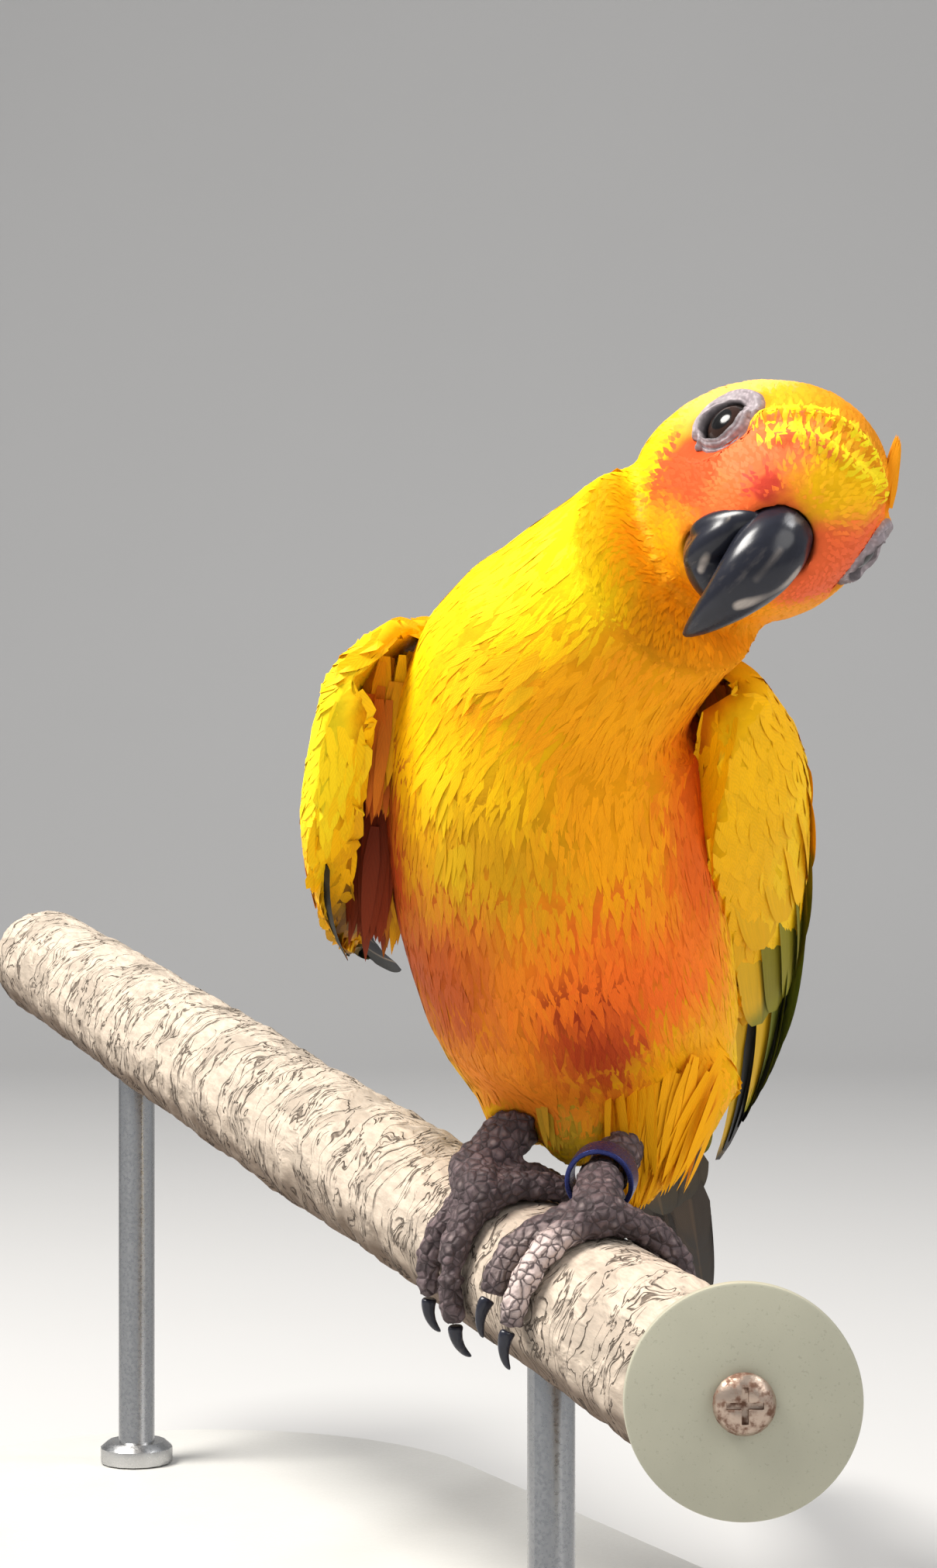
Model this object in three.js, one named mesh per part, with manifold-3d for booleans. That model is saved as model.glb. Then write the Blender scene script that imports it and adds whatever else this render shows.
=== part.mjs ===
// Sun conure standing on a short length of branch, life size, on a plain display stand.
// Millimetres, +Z up. The bird faces -Y and its left side is towards +X.
// The origin is on the underside of the base plate, below the bird's feet.
import * as THREE from 'three';
import { mergeVertices } from 'three/addons/utils/BufferGeometryUtils.js';
import Module from 'manifold-3d';

const wasm = await Module();
wasm.setup();

// Driving dimensions
const GAP = 0.3;                   // clearance between pieces that touch
const SEED = 7;                    // start of the small random differences

const BASE = { length: 236, width: 116, thick: 8, bevel: 0.8 };
const ROD = { radius: 3.5, collarRadius: 7, collarHeight: 4 };
const ROD_PLACES = [0.172, 0.8];   // share of the branch's length, from its near end

const BRANCH = {
  near: [33, -58, 59.5], far: [-89, 194, 103],
  nearRadius: 11.7, farRadius: 11, knob: 0.045, rings: 15, sides: 16,
};
const WASHER = { at: [35.9, 59.3], radius: 15.7, thick: 1.8, hole: 3.1, face: -60.3 };
const SCREW = { headRadius: 4.2, headHeight: 2.2, shankRadius: 2.4, shankLength: 14, crossWidth: 0.9 };

// Spine of the body, from the tail root to inside the head: middle, half width, belly and back depth
const SPINE = [
  { at: [31.2, 41, 86], wide: 7.5, belly: 6, back: 6 },
  { at: [29.3, 34, 89.5], wide: 12.5, belly: 11, back: 10 },
  { at: [25.5, 25, 95], wide: 18, belly: 17, back: 15 },
  { at: [20, 14, 103], wide: 22.8, belly: 21.5, back: 19 },
  { at: [16.3, 4, 113.2], wide: 24.5, belly: 25, back: 22 },
  { at: [13.4, -5, 125], wide: 24.8, belly: 26, back: 23 },
  { at: [12, -13, 136.8], wide: 24.4, belly: 25, back: 22.5 },
  { at: [11.7, -19.5, 147], wide: 23.4, belly: 22.5, back: 20.5 },
  { at: [13.2, -25, 155], wide: 21.2, belly: 19, back: 18.5 },
  { at: [18, -30, 161], wide: 18.4, belly: 16.4, back: 16.8 },
  { at: [24.5, -33.5, 167], wide: 16.8, belly: 15, back: 15.8 },
  { at: [31.3, -35.5, 172.6], wide: 16.4, belly: 14.5, back: 15.2 },
  { at: [38.5, -36, 177.5], wide: 14, belly: 13.5, back: 13.5 },
];
const NECK_FROM = 9;               // spine station where the neck begins
const BODY_TURN = -15.5;           // degrees, turn of the body about the upright
const BODY_SIDES = 22;

// Head: middle of the line between the eyes, its turn, nod and tilt in degrees
const HEAD = { at: [45.2, -42, 179.6], turn: 11, nod: 6, tilt: 42.5, sides: 24 };
const HEAD_OFFSET = -0.9;          // the skull's middle lies this far to the bird's right
// Rings of the head from nape to face: place forward, half width, top, bottom and height of the widest line
const HEAD_RINGS = [
  [-28, 8, -1, -14, -8], [-25.5, 13, 5, -17, -8], [-21, 16.4, 9.6, -20, -7.5], [-14.5, 17.4, 13.2, -21.5, -6],
  [-7, 16, 14.2, -21, -4], [0, 14, 13.7, -19.5, -3], [5.5, 12, 11.4, -17.5, -3], [10, 10, 7.8, -15, -4],
  [13, 7.8, 3.6, -12.5, -4.5], [14.6, 5.4, 0.4, -9.5, -5],
];
const NECK_CUT = { at: [-14, 0, -13], normal: [0.62, 0, 0.78] };   // plane between neck and head
const EYE = { radius: 4.1, out: 14.4, facing: 66, opening: 3.2, ring: 4.4, ringThick: 1.1, ringTall: 1.18, ringWide: 0.98 };
const BILL_SIDES = 12;
const BILL_OFFSET = -0.6;          // the bill sits this far to the bird's right of the eyes' middle
// Upper bill: ridge and cutting edge, each as place forward and height, with the half width
const BILL_UPPER = [
  { ridge: [9, -1.5], edge: [5, -12], wide: 4.2 }, { ridge: [14.5, -2.2], edge: [8.5, -12.6], wide: 4.9 },
  { ridge: [18.2, -5], edge: [10.4, -13.2], wide: 5 }, { ridge: [20.2, -9.5], edge: [12, -14.6], wide: 4.7 },
  { ridge: [20.2, -14], edge: [12.8, -16.8], wide: 3.9 }, { ridge: [18.6, -18.5], edge: [12.9, -19.2], wide: 2.8 },
  { ridge: [16.0, -22], edge: [12.6, -21.8], wide: 1.7 }, { ridge: [13.6, -24], edge: [12.0, -23.4], wide: 0.8 },
];
const BILL_TIP = [12.0, -25];
// Lower bill: place forward, half width, top and bottom
const BILL_LOWER = [
  [1, 5.8, -10, -17.5], [5, 6.7, -10.5, -18.8], [8.5, 6.6, -11.4, -19.4], [11, 5, -12.6, -19], [12.4, 2.8, -14, -18],
];
const LOWER_OFFSET = -1.7;          // and the lower bill this far
const NOSTRIL = { forward: 14.2, side: 2.4, up: -2.1, radius: 0.9 };

// Wings: place of the wrist, droop of the wing's line in degrees, reach from the wrist to the tip,
// and for eight even steps along it the leading edge, the crest and the edge over the back,
// each as distance across (x) and lift from the wing's line
const WINGS = {
  right: {
    wrist: [-28, 152], droop: 20, from: -2, reach: 130, fore: 7, aft: 2.2, side: -1,
    lead: [[-19.5, -5], [-22, -20], [-20.4, -23], [-18.8, -20.5], [-17.6, -16], [-16.5, -11], [-15, -6], [-13, -1]],
    crest: [[-19.5, 3], [-21.5, 0], [-21.5, -3], [-21.5, -2], [-21.2, -1], [-20, 0], [-17.4, 1], [-14.5, 2]],
    over: [[-11, 11], [-3, 18], [-1, 18.5], [-0.5, 15], [-2, 11.5], [-5, 9.5], [-9, 8.5], [-11, 6]],
    shoulder: { at: [-1, -19, 156.5], size: [9, 10, 10.5] },
  },
  left: {
    wrist: [-31, 150], droop: 32, from: -2, reach: 147, fore: 6, aft: 2.2, side: 1,
    lead: [[36, -5], [34.5, -11.5], [38, -12], [41.5, -12], [44.5, -10], [46, -7], [46, -4], [45, -1]],
    crest: [[41.5, 3], [48.7, 6], [50.8, 6], [51.4, 3], [51, 1], [49.8, 1], [48.5, 2], [46.5, 2]],
    over: [[33, 10], [27, 24], [26.5, 25], [28.5, 19], [34, 12], [38, 9], [41, 8], [43, 5]],
    shoulder: { at: [31, -20, 149], size: [11, 11, 12.5] },
  },
};
const WING_CORE_END = 0.66;        // share of the wing's reach that has flesh and bone
const VANE = { thick: 0.6, tipThick: 0.3, sections: 4 };
// Tiers of wing feathers: count, share of the reach at root and tip, from and to across the wing, width, lift
const WING_TIERS = [
  { name: 'primaries', count: 6, root: [0.42, 0.48], tip: [1.0, 0.74], across: [0.14, 0.6], width: 9.2, lift: 0.1 },
  { name: 'secondaries', count: 5, root: [0.36, 0.26], tip: [0.68, 0.6], across: [0.26, 0.86], width: 10, lift: 1.1 },
  { name: 'coverts', count: 5, root: [0.14, 0.12], tip: [0.42, 0.3], across: [0.18, 0.84], width: 10, lift: 1.9 },
];

// Tail: root and tip of its middle line, feather lengths from the middle pair outwards
const TAIL = {
  root: [29.5, 42, 85.2], tip: [42.8, 156, 35.6],
  lengths: [125, 116, 101, 85, 69], width: 8.8, step: 0.95, spread: 1.9,
  coreLength: 48, coreWide: 7.2, coreDeep: 4.2, coverts: 4,
};

const TOE = { radius: 2.5, endRadius: 1.9, sides: 8, knuckles: 4 };
const CLAW = { length: 6.6, radius: 1.4, bend: 70, sections: 5, sides: 7 };
// Legs: middle line of thigh and shank with radii, and the foot's place along the branch (Y) and round it
const LEGS = {
  right: {
    thigh: [{ at: [9, 8, 99], r: 9.5 }, { at: [8.6, 2.5, 93.4], r: 8.2 }, { at: [7.6, -1.8, 89], r: 5.2 }],
    tuft: { at: [10, 4, 92], size: [7.5, 7, 7] },
    shank: [{ at: [8, -0.6, 90], r: 4.1 }, { at: [4.4, -4, 86], r: 3.9 }, { at: [0.8, -7, 82.6], r: 4.2 }],
    along: -7, round: 34,
    toes: [{ side: 1, shift: -3.2, from: 8, to: 80 }, { side: 1, shift: 3.6, from: 8, to: 72 },
      { side: -1, shift: -3, from: -8, to: -76 }, { side: -1, shift: 3.6, from: -8, to: -64 }],
  },
  left: {
    thigh: [{ at: [30, 5, 97], r: 12 }, { at: [28.4, -0.5, 90], r: 9 }, { at: [26.2, -4.5, 83.5], r: 5.4 },
      { at: [24.4, -7, 78.4], r: 2.4 }],
    tuft: { at: [16.4, -3, 89.4], size: [6.4, 5.5, 6.8] },
    shank: [{ at: [24, -5.6, 87], r: 3.5 }, { at: [20.6, -15, 84.5], r: 3.3 }, { at: [18.7, -22.6, 82.8], r: 3.5 }],
    along: -26, round: 2,
    toes: [{ side: 1, shift: -2, from: 6, to: 88 }, { side: 1, shift: 4.2, from: 6, to: 78 },
      { side: -1, shift: -2.6, from: -6, to: -88 }, { side: -1, shift: 4, from: -6, to: -78 }],
  },
};
const LEG_RING = { at: [19.6, -18, 83.8], axis: [-2.2, -9.4, -1.9], radius: 5.1, wall: 0.8, height: 4.4 };

const COLOURS = {
  yellow: 0xf2b90c, orange: 0xe8842a, wing: 0xc9b21c, tail: 0x4e4a2c, horn: 0x23232a, skin: 0x6a5d60,
  eye: 0x1c120e, ring: 0x2a2a5c, bark: 0xb8a692, washer: 0xb9be9f, screw: 0x8a7364, base: 0xd8d5cc, rod: 0x9a9a9a,
};

// Small helpers
const vec = (p) => new THREE.Vector3(...p);
const radians = THREE.MathUtils.degToRad;
const mix = THREE.MathUtils.lerp;

let drawState = SEED;
function draw(spread) {
  drawState = (drawState * 16807) % 2147483647;
  return spread * (2 * drawState / 2147483647 - 1);
}

function meshGeometry(points, faces) {
  const geometry = new THREE.BufferGeometry();
  geometry.setAttribute('position', new THREE.Float32BufferAttribute(points.flatMap((p) => [p.x, p.y, p.z]), 3));
  let volume = 0;
  for (const [a, b, c] of faces) volume += points[a].dot(points[b].clone().cross(points[c]));
  geometry.setIndex(volume > 0 ? faces.flat() : faces.flatMap(([a, b, c]) => [a, c, b]));
  return geometry;
}

// Closed body over rings of equal count; each end closes on a point, by default the ring's middle
function overRings(rings, start = null, end = null) {
  const count = rings[0].length;
  const middle = (ring) => ring.reduce((sum, p) => sum.add(p), new THREE.Vector3()).divideScalar(count);
  const points = [...rings.flat(), start ?? middle(rings[0]), end ?? middle(rings.at(-1))];
  const faces = [];
  for (let i = 0; i < rings.length - 1; i++) {
    for (let k = 0; k < count; k++) {
      const a = i * count + k;
      const b = i * count + (k + 1) % count;
      faces.push([a, b, b + count], [a, b + count, a + count]);
    }
  }
  const last = (rings.length - 1) * count;
  for (let k = 0; k < count; k++) {
    const next = (k + 1) % count;
    faces.push([next, k, points.length - 2], [last + k, last + next, points.length - 1]);
  }
  return meshGeometry(points, faces);
}

function oval(centre, side, up, wide, above, below, count) {
  return Array.from({ length: count }, (_, k) => {
    const angle = 2 * Math.PI * k / count;
    const high = Math.sin(angle) > 0 ? above : below;
    return centre.clone().addScaledVector(side, wide * Math.cos(angle)).addScaledVector(up, high * Math.sin(angle));
  });
}

function solid(geometry) {
  const bare = geometry.clone();
  bare.deleteAttribute('normal');
  bare.deleteAttribute('uv');
  const merged = mergeVertices(bare, 1e-4);
  return new wasm.Manifold(new wasm.Mesh({
    numProp: 3,
    vertProperties: new Float32Array(merged.attributes.position.array),
    triVerts: new Uint32Array(merged.index.array),
  }));
}

const join = (bodies) => bodies.reduce((whole, body) => whole.add(body));
const cut = (body, ...tools) => tools.reduce((left, tool) => left.subtract(tool), body);
const largest = (body) => body.decompose().reduce((a, b) => (Math.abs(b.volume()) > Math.abs(a.volume()) ? b : a));

function geometryOf(body) {
  const mesh = largest(body).getMesh();
  const geometry = new THREE.BufferGeometry();
  geometry.setAttribute('position', new THREE.BufferAttribute(new Float32Array(mesh.vertProperties), 3));
  geometry.setIndex(new THREE.BufferAttribute(new Uint32Array(mesh.triVerts), 1));
  return geometry;
}

const conure = new THREE.Group();

function addPiece(name, body, colour, roughness = 0.7, metalness = 0) {
  const material = new THREE.MeshStandardMaterial({ color: colour, roughness, metalness });
  const mesh = new THREE.Mesh(geometryOf(body), material);
  mesh.name = name;
  conure.add(mesh);
}

// A tapering tube along points, each with its own radius
function taperedTube(stations, sides, grow = 0, tip = null) {
  const curve = new THREE.CatmullRomCurve3(stations.map((s) => vec(s.at)));
  const rings = stations.map((s, i) => {
    const along = curve.getTangent(i / (stations.length - 1));
    const side = new THREE.Vector3(0, 0, 1).cross(along).normalize();
    const up = along.clone().cross(side);
    return oval(vec(s.at), side, up, s.r + grow, s.r + grow, s.r + grow, sides);
  });
  return solid(overRings(rings, null, tip));
}

// Branch, washer and screw
const branchNear = vec(BRANCH.near);
const branchLine = vec(BRANCH.far).sub(branchNear);
const branchAlong = branchLine.clone().normalize();
const branchSide = branchAlong.clone().cross(new THREE.Vector3(0, 0, 1)).normalize();
const branchUp = branchSide.clone().cross(branchAlong);
const branchShareAt = (y) => (y - branchNear.y) / branchLine.y;
const branchPoint = (share) => branchNear.clone().addScaledVector(branchLine, share);

function branchRadius(share, angle) {
  const knobs = Math.sin(9 * share + 2 * angle) + 0.7 * Math.sin(23 * share - angle + 1) + 0.4 * Math.sin(41 * share + 3 * angle);
  return mix(BRANCH.nearRadius, BRANCH.farRadius, share) * (1 + BRANCH.knob * knobs / 2);
}

function branchBody(grow) {
  const rings = Array.from({ length: BRANCH.rings }, (_, i) => {
    const share = i / (BRANCH.rings - 1);
    const centre = branchPoint(share);
    return Array.from({ length: BRANCH.sides }, (_, k) => {
      const angle = 2 * Math.PI * k / BRANCH.sides;
      const radius = branchRadius(share, angle) + grow;
      const p = centre.clone().addScaledVector(branchSide, radius * Math.cos(angle));
      p.addScaledVector(branchUp, radius * Math.sin(angle));
      const onCut = i === 0 ? (branchNear.y - p.y) / branchAlong.y : 0;
      return p.addScaledVector(branchAlong, onCut);
    });
  });
  return solid(overRings(rings));
}

// Solid of revolution about an axis that points along `along` from `at`
function turned(profile, at, along, sides = 24) {
  const geometry = new THREE.LatheGeometry(profile.map(([r, h]) => new THREE.Vector2(r, h)), sides);
  const turn = new THREE.Quaternion().setFromUnitVectors(new THREE.Vector3(0, 1, 0), along.clone().normalize());
  geometry.applyQuaternion(turn);
  geometry.translate(at.x, at.y, at.z);
  return solid(geometry);
}

const branchGrown = branchBody(GAP);
const washerFace = new THREE.Vector3(WASHER.at[0], WASHER.face, WASHER.at[1]);
const towardsViewer = new THREE.Vector3(0, -1, 0);
const screwHoleDepth = SCREW.shankLength + GAP;

function rounded(radius, height, bevel) {
  return [[0, 0], [radius - bevel, 0], [radius, bevel], [radius, height - bevel], [radius - bevel, height], [0, height]];
}

function perch() {
  const rim = WASHER.radius;
  const washerFront = WASHER.face - WASHER.thick;
  const hole = turned([[0, -1], [WASHER.hole, -1], [WASHER.hole, WASHER.thick + 1], [0, WASHER.thick + 1]],
    washerFace, towardsViewer);
  const washer = turned(rounded(rim, WASHER.thick, 0.4), washerFace, towardsViewer, 32);
  const headBase = new THREE.Vector3(washerFace.x, washerFront - GAP, washerFace.z);
  const r = SCREW.headRadius;
  const h = SCREW.headHeight;
  const head = [[0, -SCREW.shankLength - WASHER.thick], [SCREW.shankRadius * 0.4, -SCREW.shankLength - WASHER.thick],
    [SCREW.shankRadius, -SCREW.shankLength], [SCREW.shankRadius, 0], [r * 0.94, 0], [r, h * 0.35],
    [r * 0.84, h * 0.78], [r * 0.5, h], [0, h]];
  const slot = (long, wide) => new THREE.BoxGeometry(long, 1.6, wide).translate(
    headBase.x, headBase.y - h, headBase.z);
  const arm = r * 1.15;
  const screw = cut(turned(head, headBase, towardsViewer),
    solid(slot(arm, SCREW.crossWidth)), solid(slot(SCREW.crossWidth, arm)));
  const bore = turned([[0, -screwHoleDepth - 4], [SCREW.shankRadius + GAP, -screwHoleDepth - 4],
    [SCREW.shankRadius + GAP, 6], [0, 6]], washerFace, towardsViewer);
  addPiece('perch_branch', cut(branchBody(0), bore), COLOURS.bark, 0.95);
  addPiece('perch_washer', cut(washer, hole), COLOURS.washer, 0.6);
  addPiece('perch_screw', screw, COLOURS.screw, 0.45, 0.8);
}

// Stand: a flat base with round ends and two rods up to the branch
function stand() {
  const heading = Math.atan2(branchLine.y, branchLine.x);
  const middle = branchPoint((ROD_PLACES[0] + ROD_PLACES[1]) / 2);
  const half = BASE.width / 2 - BASE.bevel;
  const straight = BASE.length / 2 - BASE.width / 2;
  const outline = new THREE.Shape();
  outline.absarc(straight, 0, half, -Math.PI / 2, Math.PI / 2);
  outline.absarc(-straight, 0, half, Math.PI / 2, 3 * Math.PI / 2);
  const plate = new THREE.ExtrudeGeometry(outline, {
    depth: BASE.thick - 2 * BASE.bevel, bevelThickness: BASE.bevel, bevelSize: BASE.bevel, bevelSegments: 1, curveSegments: 12,
  });
  plate.translate(0, 0, BASE.bevel);
  plate.rotateZ(heading);
  plate.translate(middle.x, middle.y, 0);
  addPiece('stand_base', solid(plate), COLOURS.base, 0.5);
  ROD_PLACES.forEach((share, i) => {
    const top = branchPoint(share);
    const foot = BASE.thick + GAP;
    const profile = [[0, 0], [ROD.collarRadius, 0], [ROD.collarRadius, ROD.collarHeight * 0.7],
      [ROD.collarRadius * 0.8, ROD.collarHeight], [ROD.radius, ROD.collarHeight], [ROD.radius, top.z - foot], [0, top.z - foot]];
    const rod = turned(profile, new THREE.Vector3(top.x, top.y, foot), new THREE.Vector3(0, 0, 1), 16);
    addPiece(['stand_rod_front', 'stand_rod_rear'][i], cut(rod, branchGrown), COLOURS.rod, 0.35, 0.9);
  });
}

// Torso and neck: one smooth body along the spine, parted where the neck begins
const bodyTurn = radians(BODY_TURN);
const bodySide = new THREE.Vector3(Math.cos(bodyTurn), Math.sin(bodyTurn), 0);
const headFrame = (() => {
  const tilt = radians(HEAD.tilt);
  const up = new THREE.Vector3(Math.sin(tilt), 0, Math.cos(tilt));
  const left = new THREE.Vector3(Math.cos(tilt), 0, -Math.sin(tilt));
  const forward = new THREE.Vector3(0, -1, 0);
  forward.applyAxisAngle(up, radians(HEAD.turn));
  left.applyAxisAngle(up, radians(HEAD.turn));
  forward.applyAxisAngle(left, radians(HEAD.nod));
  up.applyAxisAngle(left, radians(HEAD.nod));
  return { at: vec(HEAD.at), forward, left, up };
})();
function onHead(forward, left, up) {
  const { at, forward: f, left: l, up: u } = headFrame;
  return at.clone().addScaledVector(f, forward).addScaledVector(l, left).addScaledVector(u, up);
}

const spineCurve = new THREE.CatmullRomCurve3(SPINE.map((s) => vec(s.at)));
const spineLast = SPINE.length - 1;
function spineRing(place, grow, slip = 0) {
  const share = place / spineLast;
  const low = Math.min(Math.floor(place), spineLast - 1);
  const between = place - low;
  const size = (key) => mix(SPINE[low][key], SPINE[low + 1][key], between) + grow;
  const along = spineCurve.getTangent(share);
  const towardsHead = THREE.MathUtils.smoothstep(place, NECK_FROM - 2, spineLast);
  const side = bodySide.clone().lerp(headFrame.left, towardsHead * 0.8);
  side.addScaledVector(along, -side.dot(along)).normalize();
  const back = side.clone().cross(along).normalize();
  if (back.y < 0) back.negate();
  const centre = spineCurve.getPoint(share).addScaledVector(along, slip);
  return oval(centre, side, back, size('wide'), size('back'), size('belly'), BODY_SIDES);
}
function spineBody(from, to, grow, slipStart = 0, slipEnd = 0) {
  const places = [];
  for (let p = from; p <= to; p += 0.5) places.push(p);
  const rings = places.map((p) => spineRing(p, grow, p === from ? slipStart : p === to ? slipEnd : 0));
  const corners = rings.map((ring) => ring.map((p) => p.toArray()));
  return join(corners.slice(1).map((ring, i) => wasm.Manifold.hull([...corners[i], ...ring])));
}
const torsoBody = spineBody(0, NECK_FROM, 0, 0, -GAP / 2);
const torsoGrown = spineBody(0, NECK_FROM, GAP, 0, -GAP / 2);
const trunkGrown = spineBody(0, spineLast, GAP);

// Head, eyes and bill
function headBody(grow) {
  const rings = HEAD_RINGS.map(([forward, wide, above, below, middle]) => {
    return oval(onHead(forward, HEAD_OFFSET, middle), headFrame.left, headFrame.up,
      wide + grow, above - middle + grow, middle - below + grow, HEAD.sides);
  });
  const [backEnd, frontEnd] = [HEAD_RINGS[0], HEAD_RINGS.at(-1)];
  const back = onHead(backEnd[0] - 1, HEAD_OFFSET, backEnd[4]);
  return solid(overRings(rings, back, onHead(frontEnd[0] + 0.8, HEAD_OFFSET, frontEnd[4])));
}

function upperBill(grow) {
  const rings = BILL_UPPER.map(({ ridge, edge, wide }) => {
    const top = onHead(ridge[0], BILL_OFFSET, ridge[1]);
    const low = onHead(edge[0], BILL_OFFSET, edge[1]);
    const middle = top.clone().lerp(low, 0.42);
    const out = top.clone().sub(low).normalize();
    const above = top.distanceTo(middle) + grow;
    return oval(middle, headFrame.left, out, wide + grow, above, low.distanceTo(middle) + grow, BILL_SIDES);
  });
  return solid(overRings(rings, null, onHead(BILL_TIP[0], BILL_OFFSET, BILL_TIP[1] - grow)));
}

function lowerBill(grow) {
  const rings = BILL_LOWER.map(([forward, wide, top, bottom]) => {
    const middle = mix(top, bottom, 0.4);
    return oval(onHead(forward, LOWER_OFFSET, middle), headFrame.left, headFrame.up,
      wide + grow, top - middle + grow, middle - bottom + grow, BILL_SIDES);
  });
  return solid(overRings(rings));
}

function eyeFrame(side) {
  const facing = radians(EYE.facing);
  const look = headFrame.forward.clone().multiplyScalar(Math.cos(facing));
  look.addScaledVector(headFrame.left, side * Math.sin(facing));
  const centre = onHead(0, HEAD_OFFSET + side * EYE.out, 0).addScaledVector(look, -EYE.radius);
  return { look, centre };
}
function eyeBall(side, grow) {
  const { centre } = eyeFrame(side);
  return solid(new THREE.SphereGeometry(EYE.radius + grow, 12, 9).translate(centre.x, centre.y, centre.z));
}
function eyeOpening(side) {
  const { look, centre } = eyeFrame(side);
  const r = EYE.opening;
  return turned([[0, 0], [r, 0], [r, 2 * EYE.radius], [0, 2 * EYE.radius]], centre, look, 16);
}
function eyeRing(side) {
  const { look, centre } = eyeFrame(side);
  const ring = new THREE.TorusGeometry(EYE.ring, EYE.ringThick, 6, 18);
  const across = headFrame.up.clone().cross(look).normalize();
  const up = look.clone().cross(across);
  const frame = new THREE.Matrix4().makeBasis(across.multiplyScalar(EYE.ringWide), up.multiplyScalar(EYE.ringTall), look);
  ring.applyMatrix4(frame);
  const at = centre.clone().addScaledVector(look, EYE.radius - 1.5);
  return solid(ring.translate(at.x, at.y, at.z));
}

function headAndNeck() {
  const plane = vec(NECK_CUT.normal);
  const normal = headFrame.forward.clone().multiplyScalar(plane.x).addScaledVector(headFrame.up, plane.z).normalize();
  const offset = onHead(...NECK_CUT.at).dot(normal);
  const [x, y, z] = normal.toArray();
  const neck = spineBody(NECK_FROM, spineLast, 0, GAP / 2).trimByPlane([-x, -y, -z], -offset + GAP / 2);
  const fitted = cut(neck, headBody(GAP));
  const skull = cut(headBody(0), eyeOpening(1), eyeOpening(-1));
  const headWhole = join([skull, eyeRing(1), eyeRing(-1)]);
  const head = cut(headWhole, eyeBall(1, GAP), eyeBall(-1, GAP), upperBill(GAP), lowerBill(GAP));
  addPiece('neck', fitted, COLOURS.yellow, 0.85);
  addPiece('head', head, COLOURS.orange, 0.85);
  addPiece('eye_right', eyeBall(-1, 0), COLOURS.eye, 0.1);
  addPiece('eye_left', eyeBall(1, 0), COLOURS.eye, 0.1);
  const nostrils = [-1, 1].map((side) => {
    const at = onHead(NOSTRIL.forward, BILL_OFFSET + side * NOSTRIL.side, NOSTRIL.up);
    return solid(new THREE.SphereGeometry(NOSTRIL.radius, 10, 8).translate(at.x, at.y, at.z));
  });
  addPiece('bill_upper', cut(upperBill(0), ...nostrils), COLOURS.horn, 0.35);
  addPiece('bill_lower', cut(lowerBill(0), upperBill(GAP)), COLOURS.horn, 0.35);
}

// One feather vane: rings of four points, each face split alike
function vane(centres, across, normals, width, tipAt) {
  const count = centres.length;
  const points = [];
  centres.forEach((centre, i) => {
    const share = i / (count - 1);
    const fullness = Math.min(1, 0.45 + 2.2 * share) * Math.sqrt(1 - Math.pow(share, 4) * 0.72);
    const half = width * fullness / 2;
    const thick = mix(VANE.thick, VANE.tipThick, share * share) / 2;
    for (const [s, t] of [[-1, 1], [1, 1], [1, -1], [-1, -1]]) {
      points.push(centre.clone().addScaledVector(across[i], s * half).addScaledVector(normals[i], t * thick));
    }
  });
  const faces = [[0, 1, 2], [0, 2, 3]];
  for (let i = 0; i < count - 1; i++) {
    const [a, b, c, d] = [0, 1, 2, 3].map((k) => i * 4 + k);
    faces.push([a, b + 4, b], [a, a + 4, b + 4], [d, c, c + 4], [d, c + 4, d + 4]);
    faces.push([b, b + 4, c + 4], [b, c + 4, c], [d, d + 4, a + 4], [d, a + 4, a]);
  }
  const last = (count - 1) * 4;
  points.push(tipAt);
  for (let k = 0; k < 4; k++) faces.push([last + (k + 1) % 4, last + k, points.length - 1]);
  return solid(meshGeometry(points, faces));
}

// Wings
function wingSheet(wing) {
  const droop = radians(wing.droop);
  const place = (list) => new THREE.CatmullRomCurve3(list.map(([x, lift], i) => {
    const along = wing.from + wing.reach * i / (list.length - 1);
    return new THREE.Vector3(x, wing.wrist[0] + along * Math.cos(droop) + lift * Math.sin(droop),
      wing.wrist[1] - along * Math.sin(droop) + lift * Math.cos(droop));
  }));
  const [lead, crest, over] = [wing.lead, wing.crest, wing.over].map(place);
  const at = (s, c) => {
    const [a, b, d] = [lead.getPoint(s), crest.getPoint(s), over.getPoint(s)];
    const handle = b.multiplyScalar(2).addScaledVector(a, -0.5).addScaledVector(d, -0.5);
    return a.multiplyScalar((1 - c) ** 2).addScaledVector(handle, 2 * c * (1 - c)).addScaledVector(d, c * c);
  };
  const out = (s, c) => {
    const near = Math.min(Math.max(s, 0.02), 0.98);
    const mid = Math.min(Math.max(c, 0.02), 0.98);
    const alongStep = at(near + 0.01, mid).sub(at(near - 0.01, mid));
    const acrossStep = at(near, mid + 0.01).sub(at(near, mid - 0.01));
    return alongStep.cross(acrossStep).normalize().multiplyScalar(wing.side);
  };
  return { at, out };
}

function wingCore(wing, sheet) {
  const steps = 7;
  const rings = Array.from({ length: 9 }, (_, i) => {
    const s = WING_CORE_END * i / 8;
    const thin = 1 - 0.75 * s / WING_CORE_END;
    const outer = Array.from({ length: steps + 1 }, (_, k) => sheet.at(s, k / steps));
    const inner = outer.map((p, k) => {
      const thick = mix(wing.fore, wing.aft, Math.sqrt(k / steps)) * thin;
      return p.clone().addScaledVector(sheet.out(s, k / steps), -thick);
    });
    return [...outer, ...inner.reverse()];
  });
  const nose = sheet.at(0, 0.5).add(new THREE.Vector3(0, -2.5, 0));
  return solid(overRings(rings, nose));
}

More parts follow.
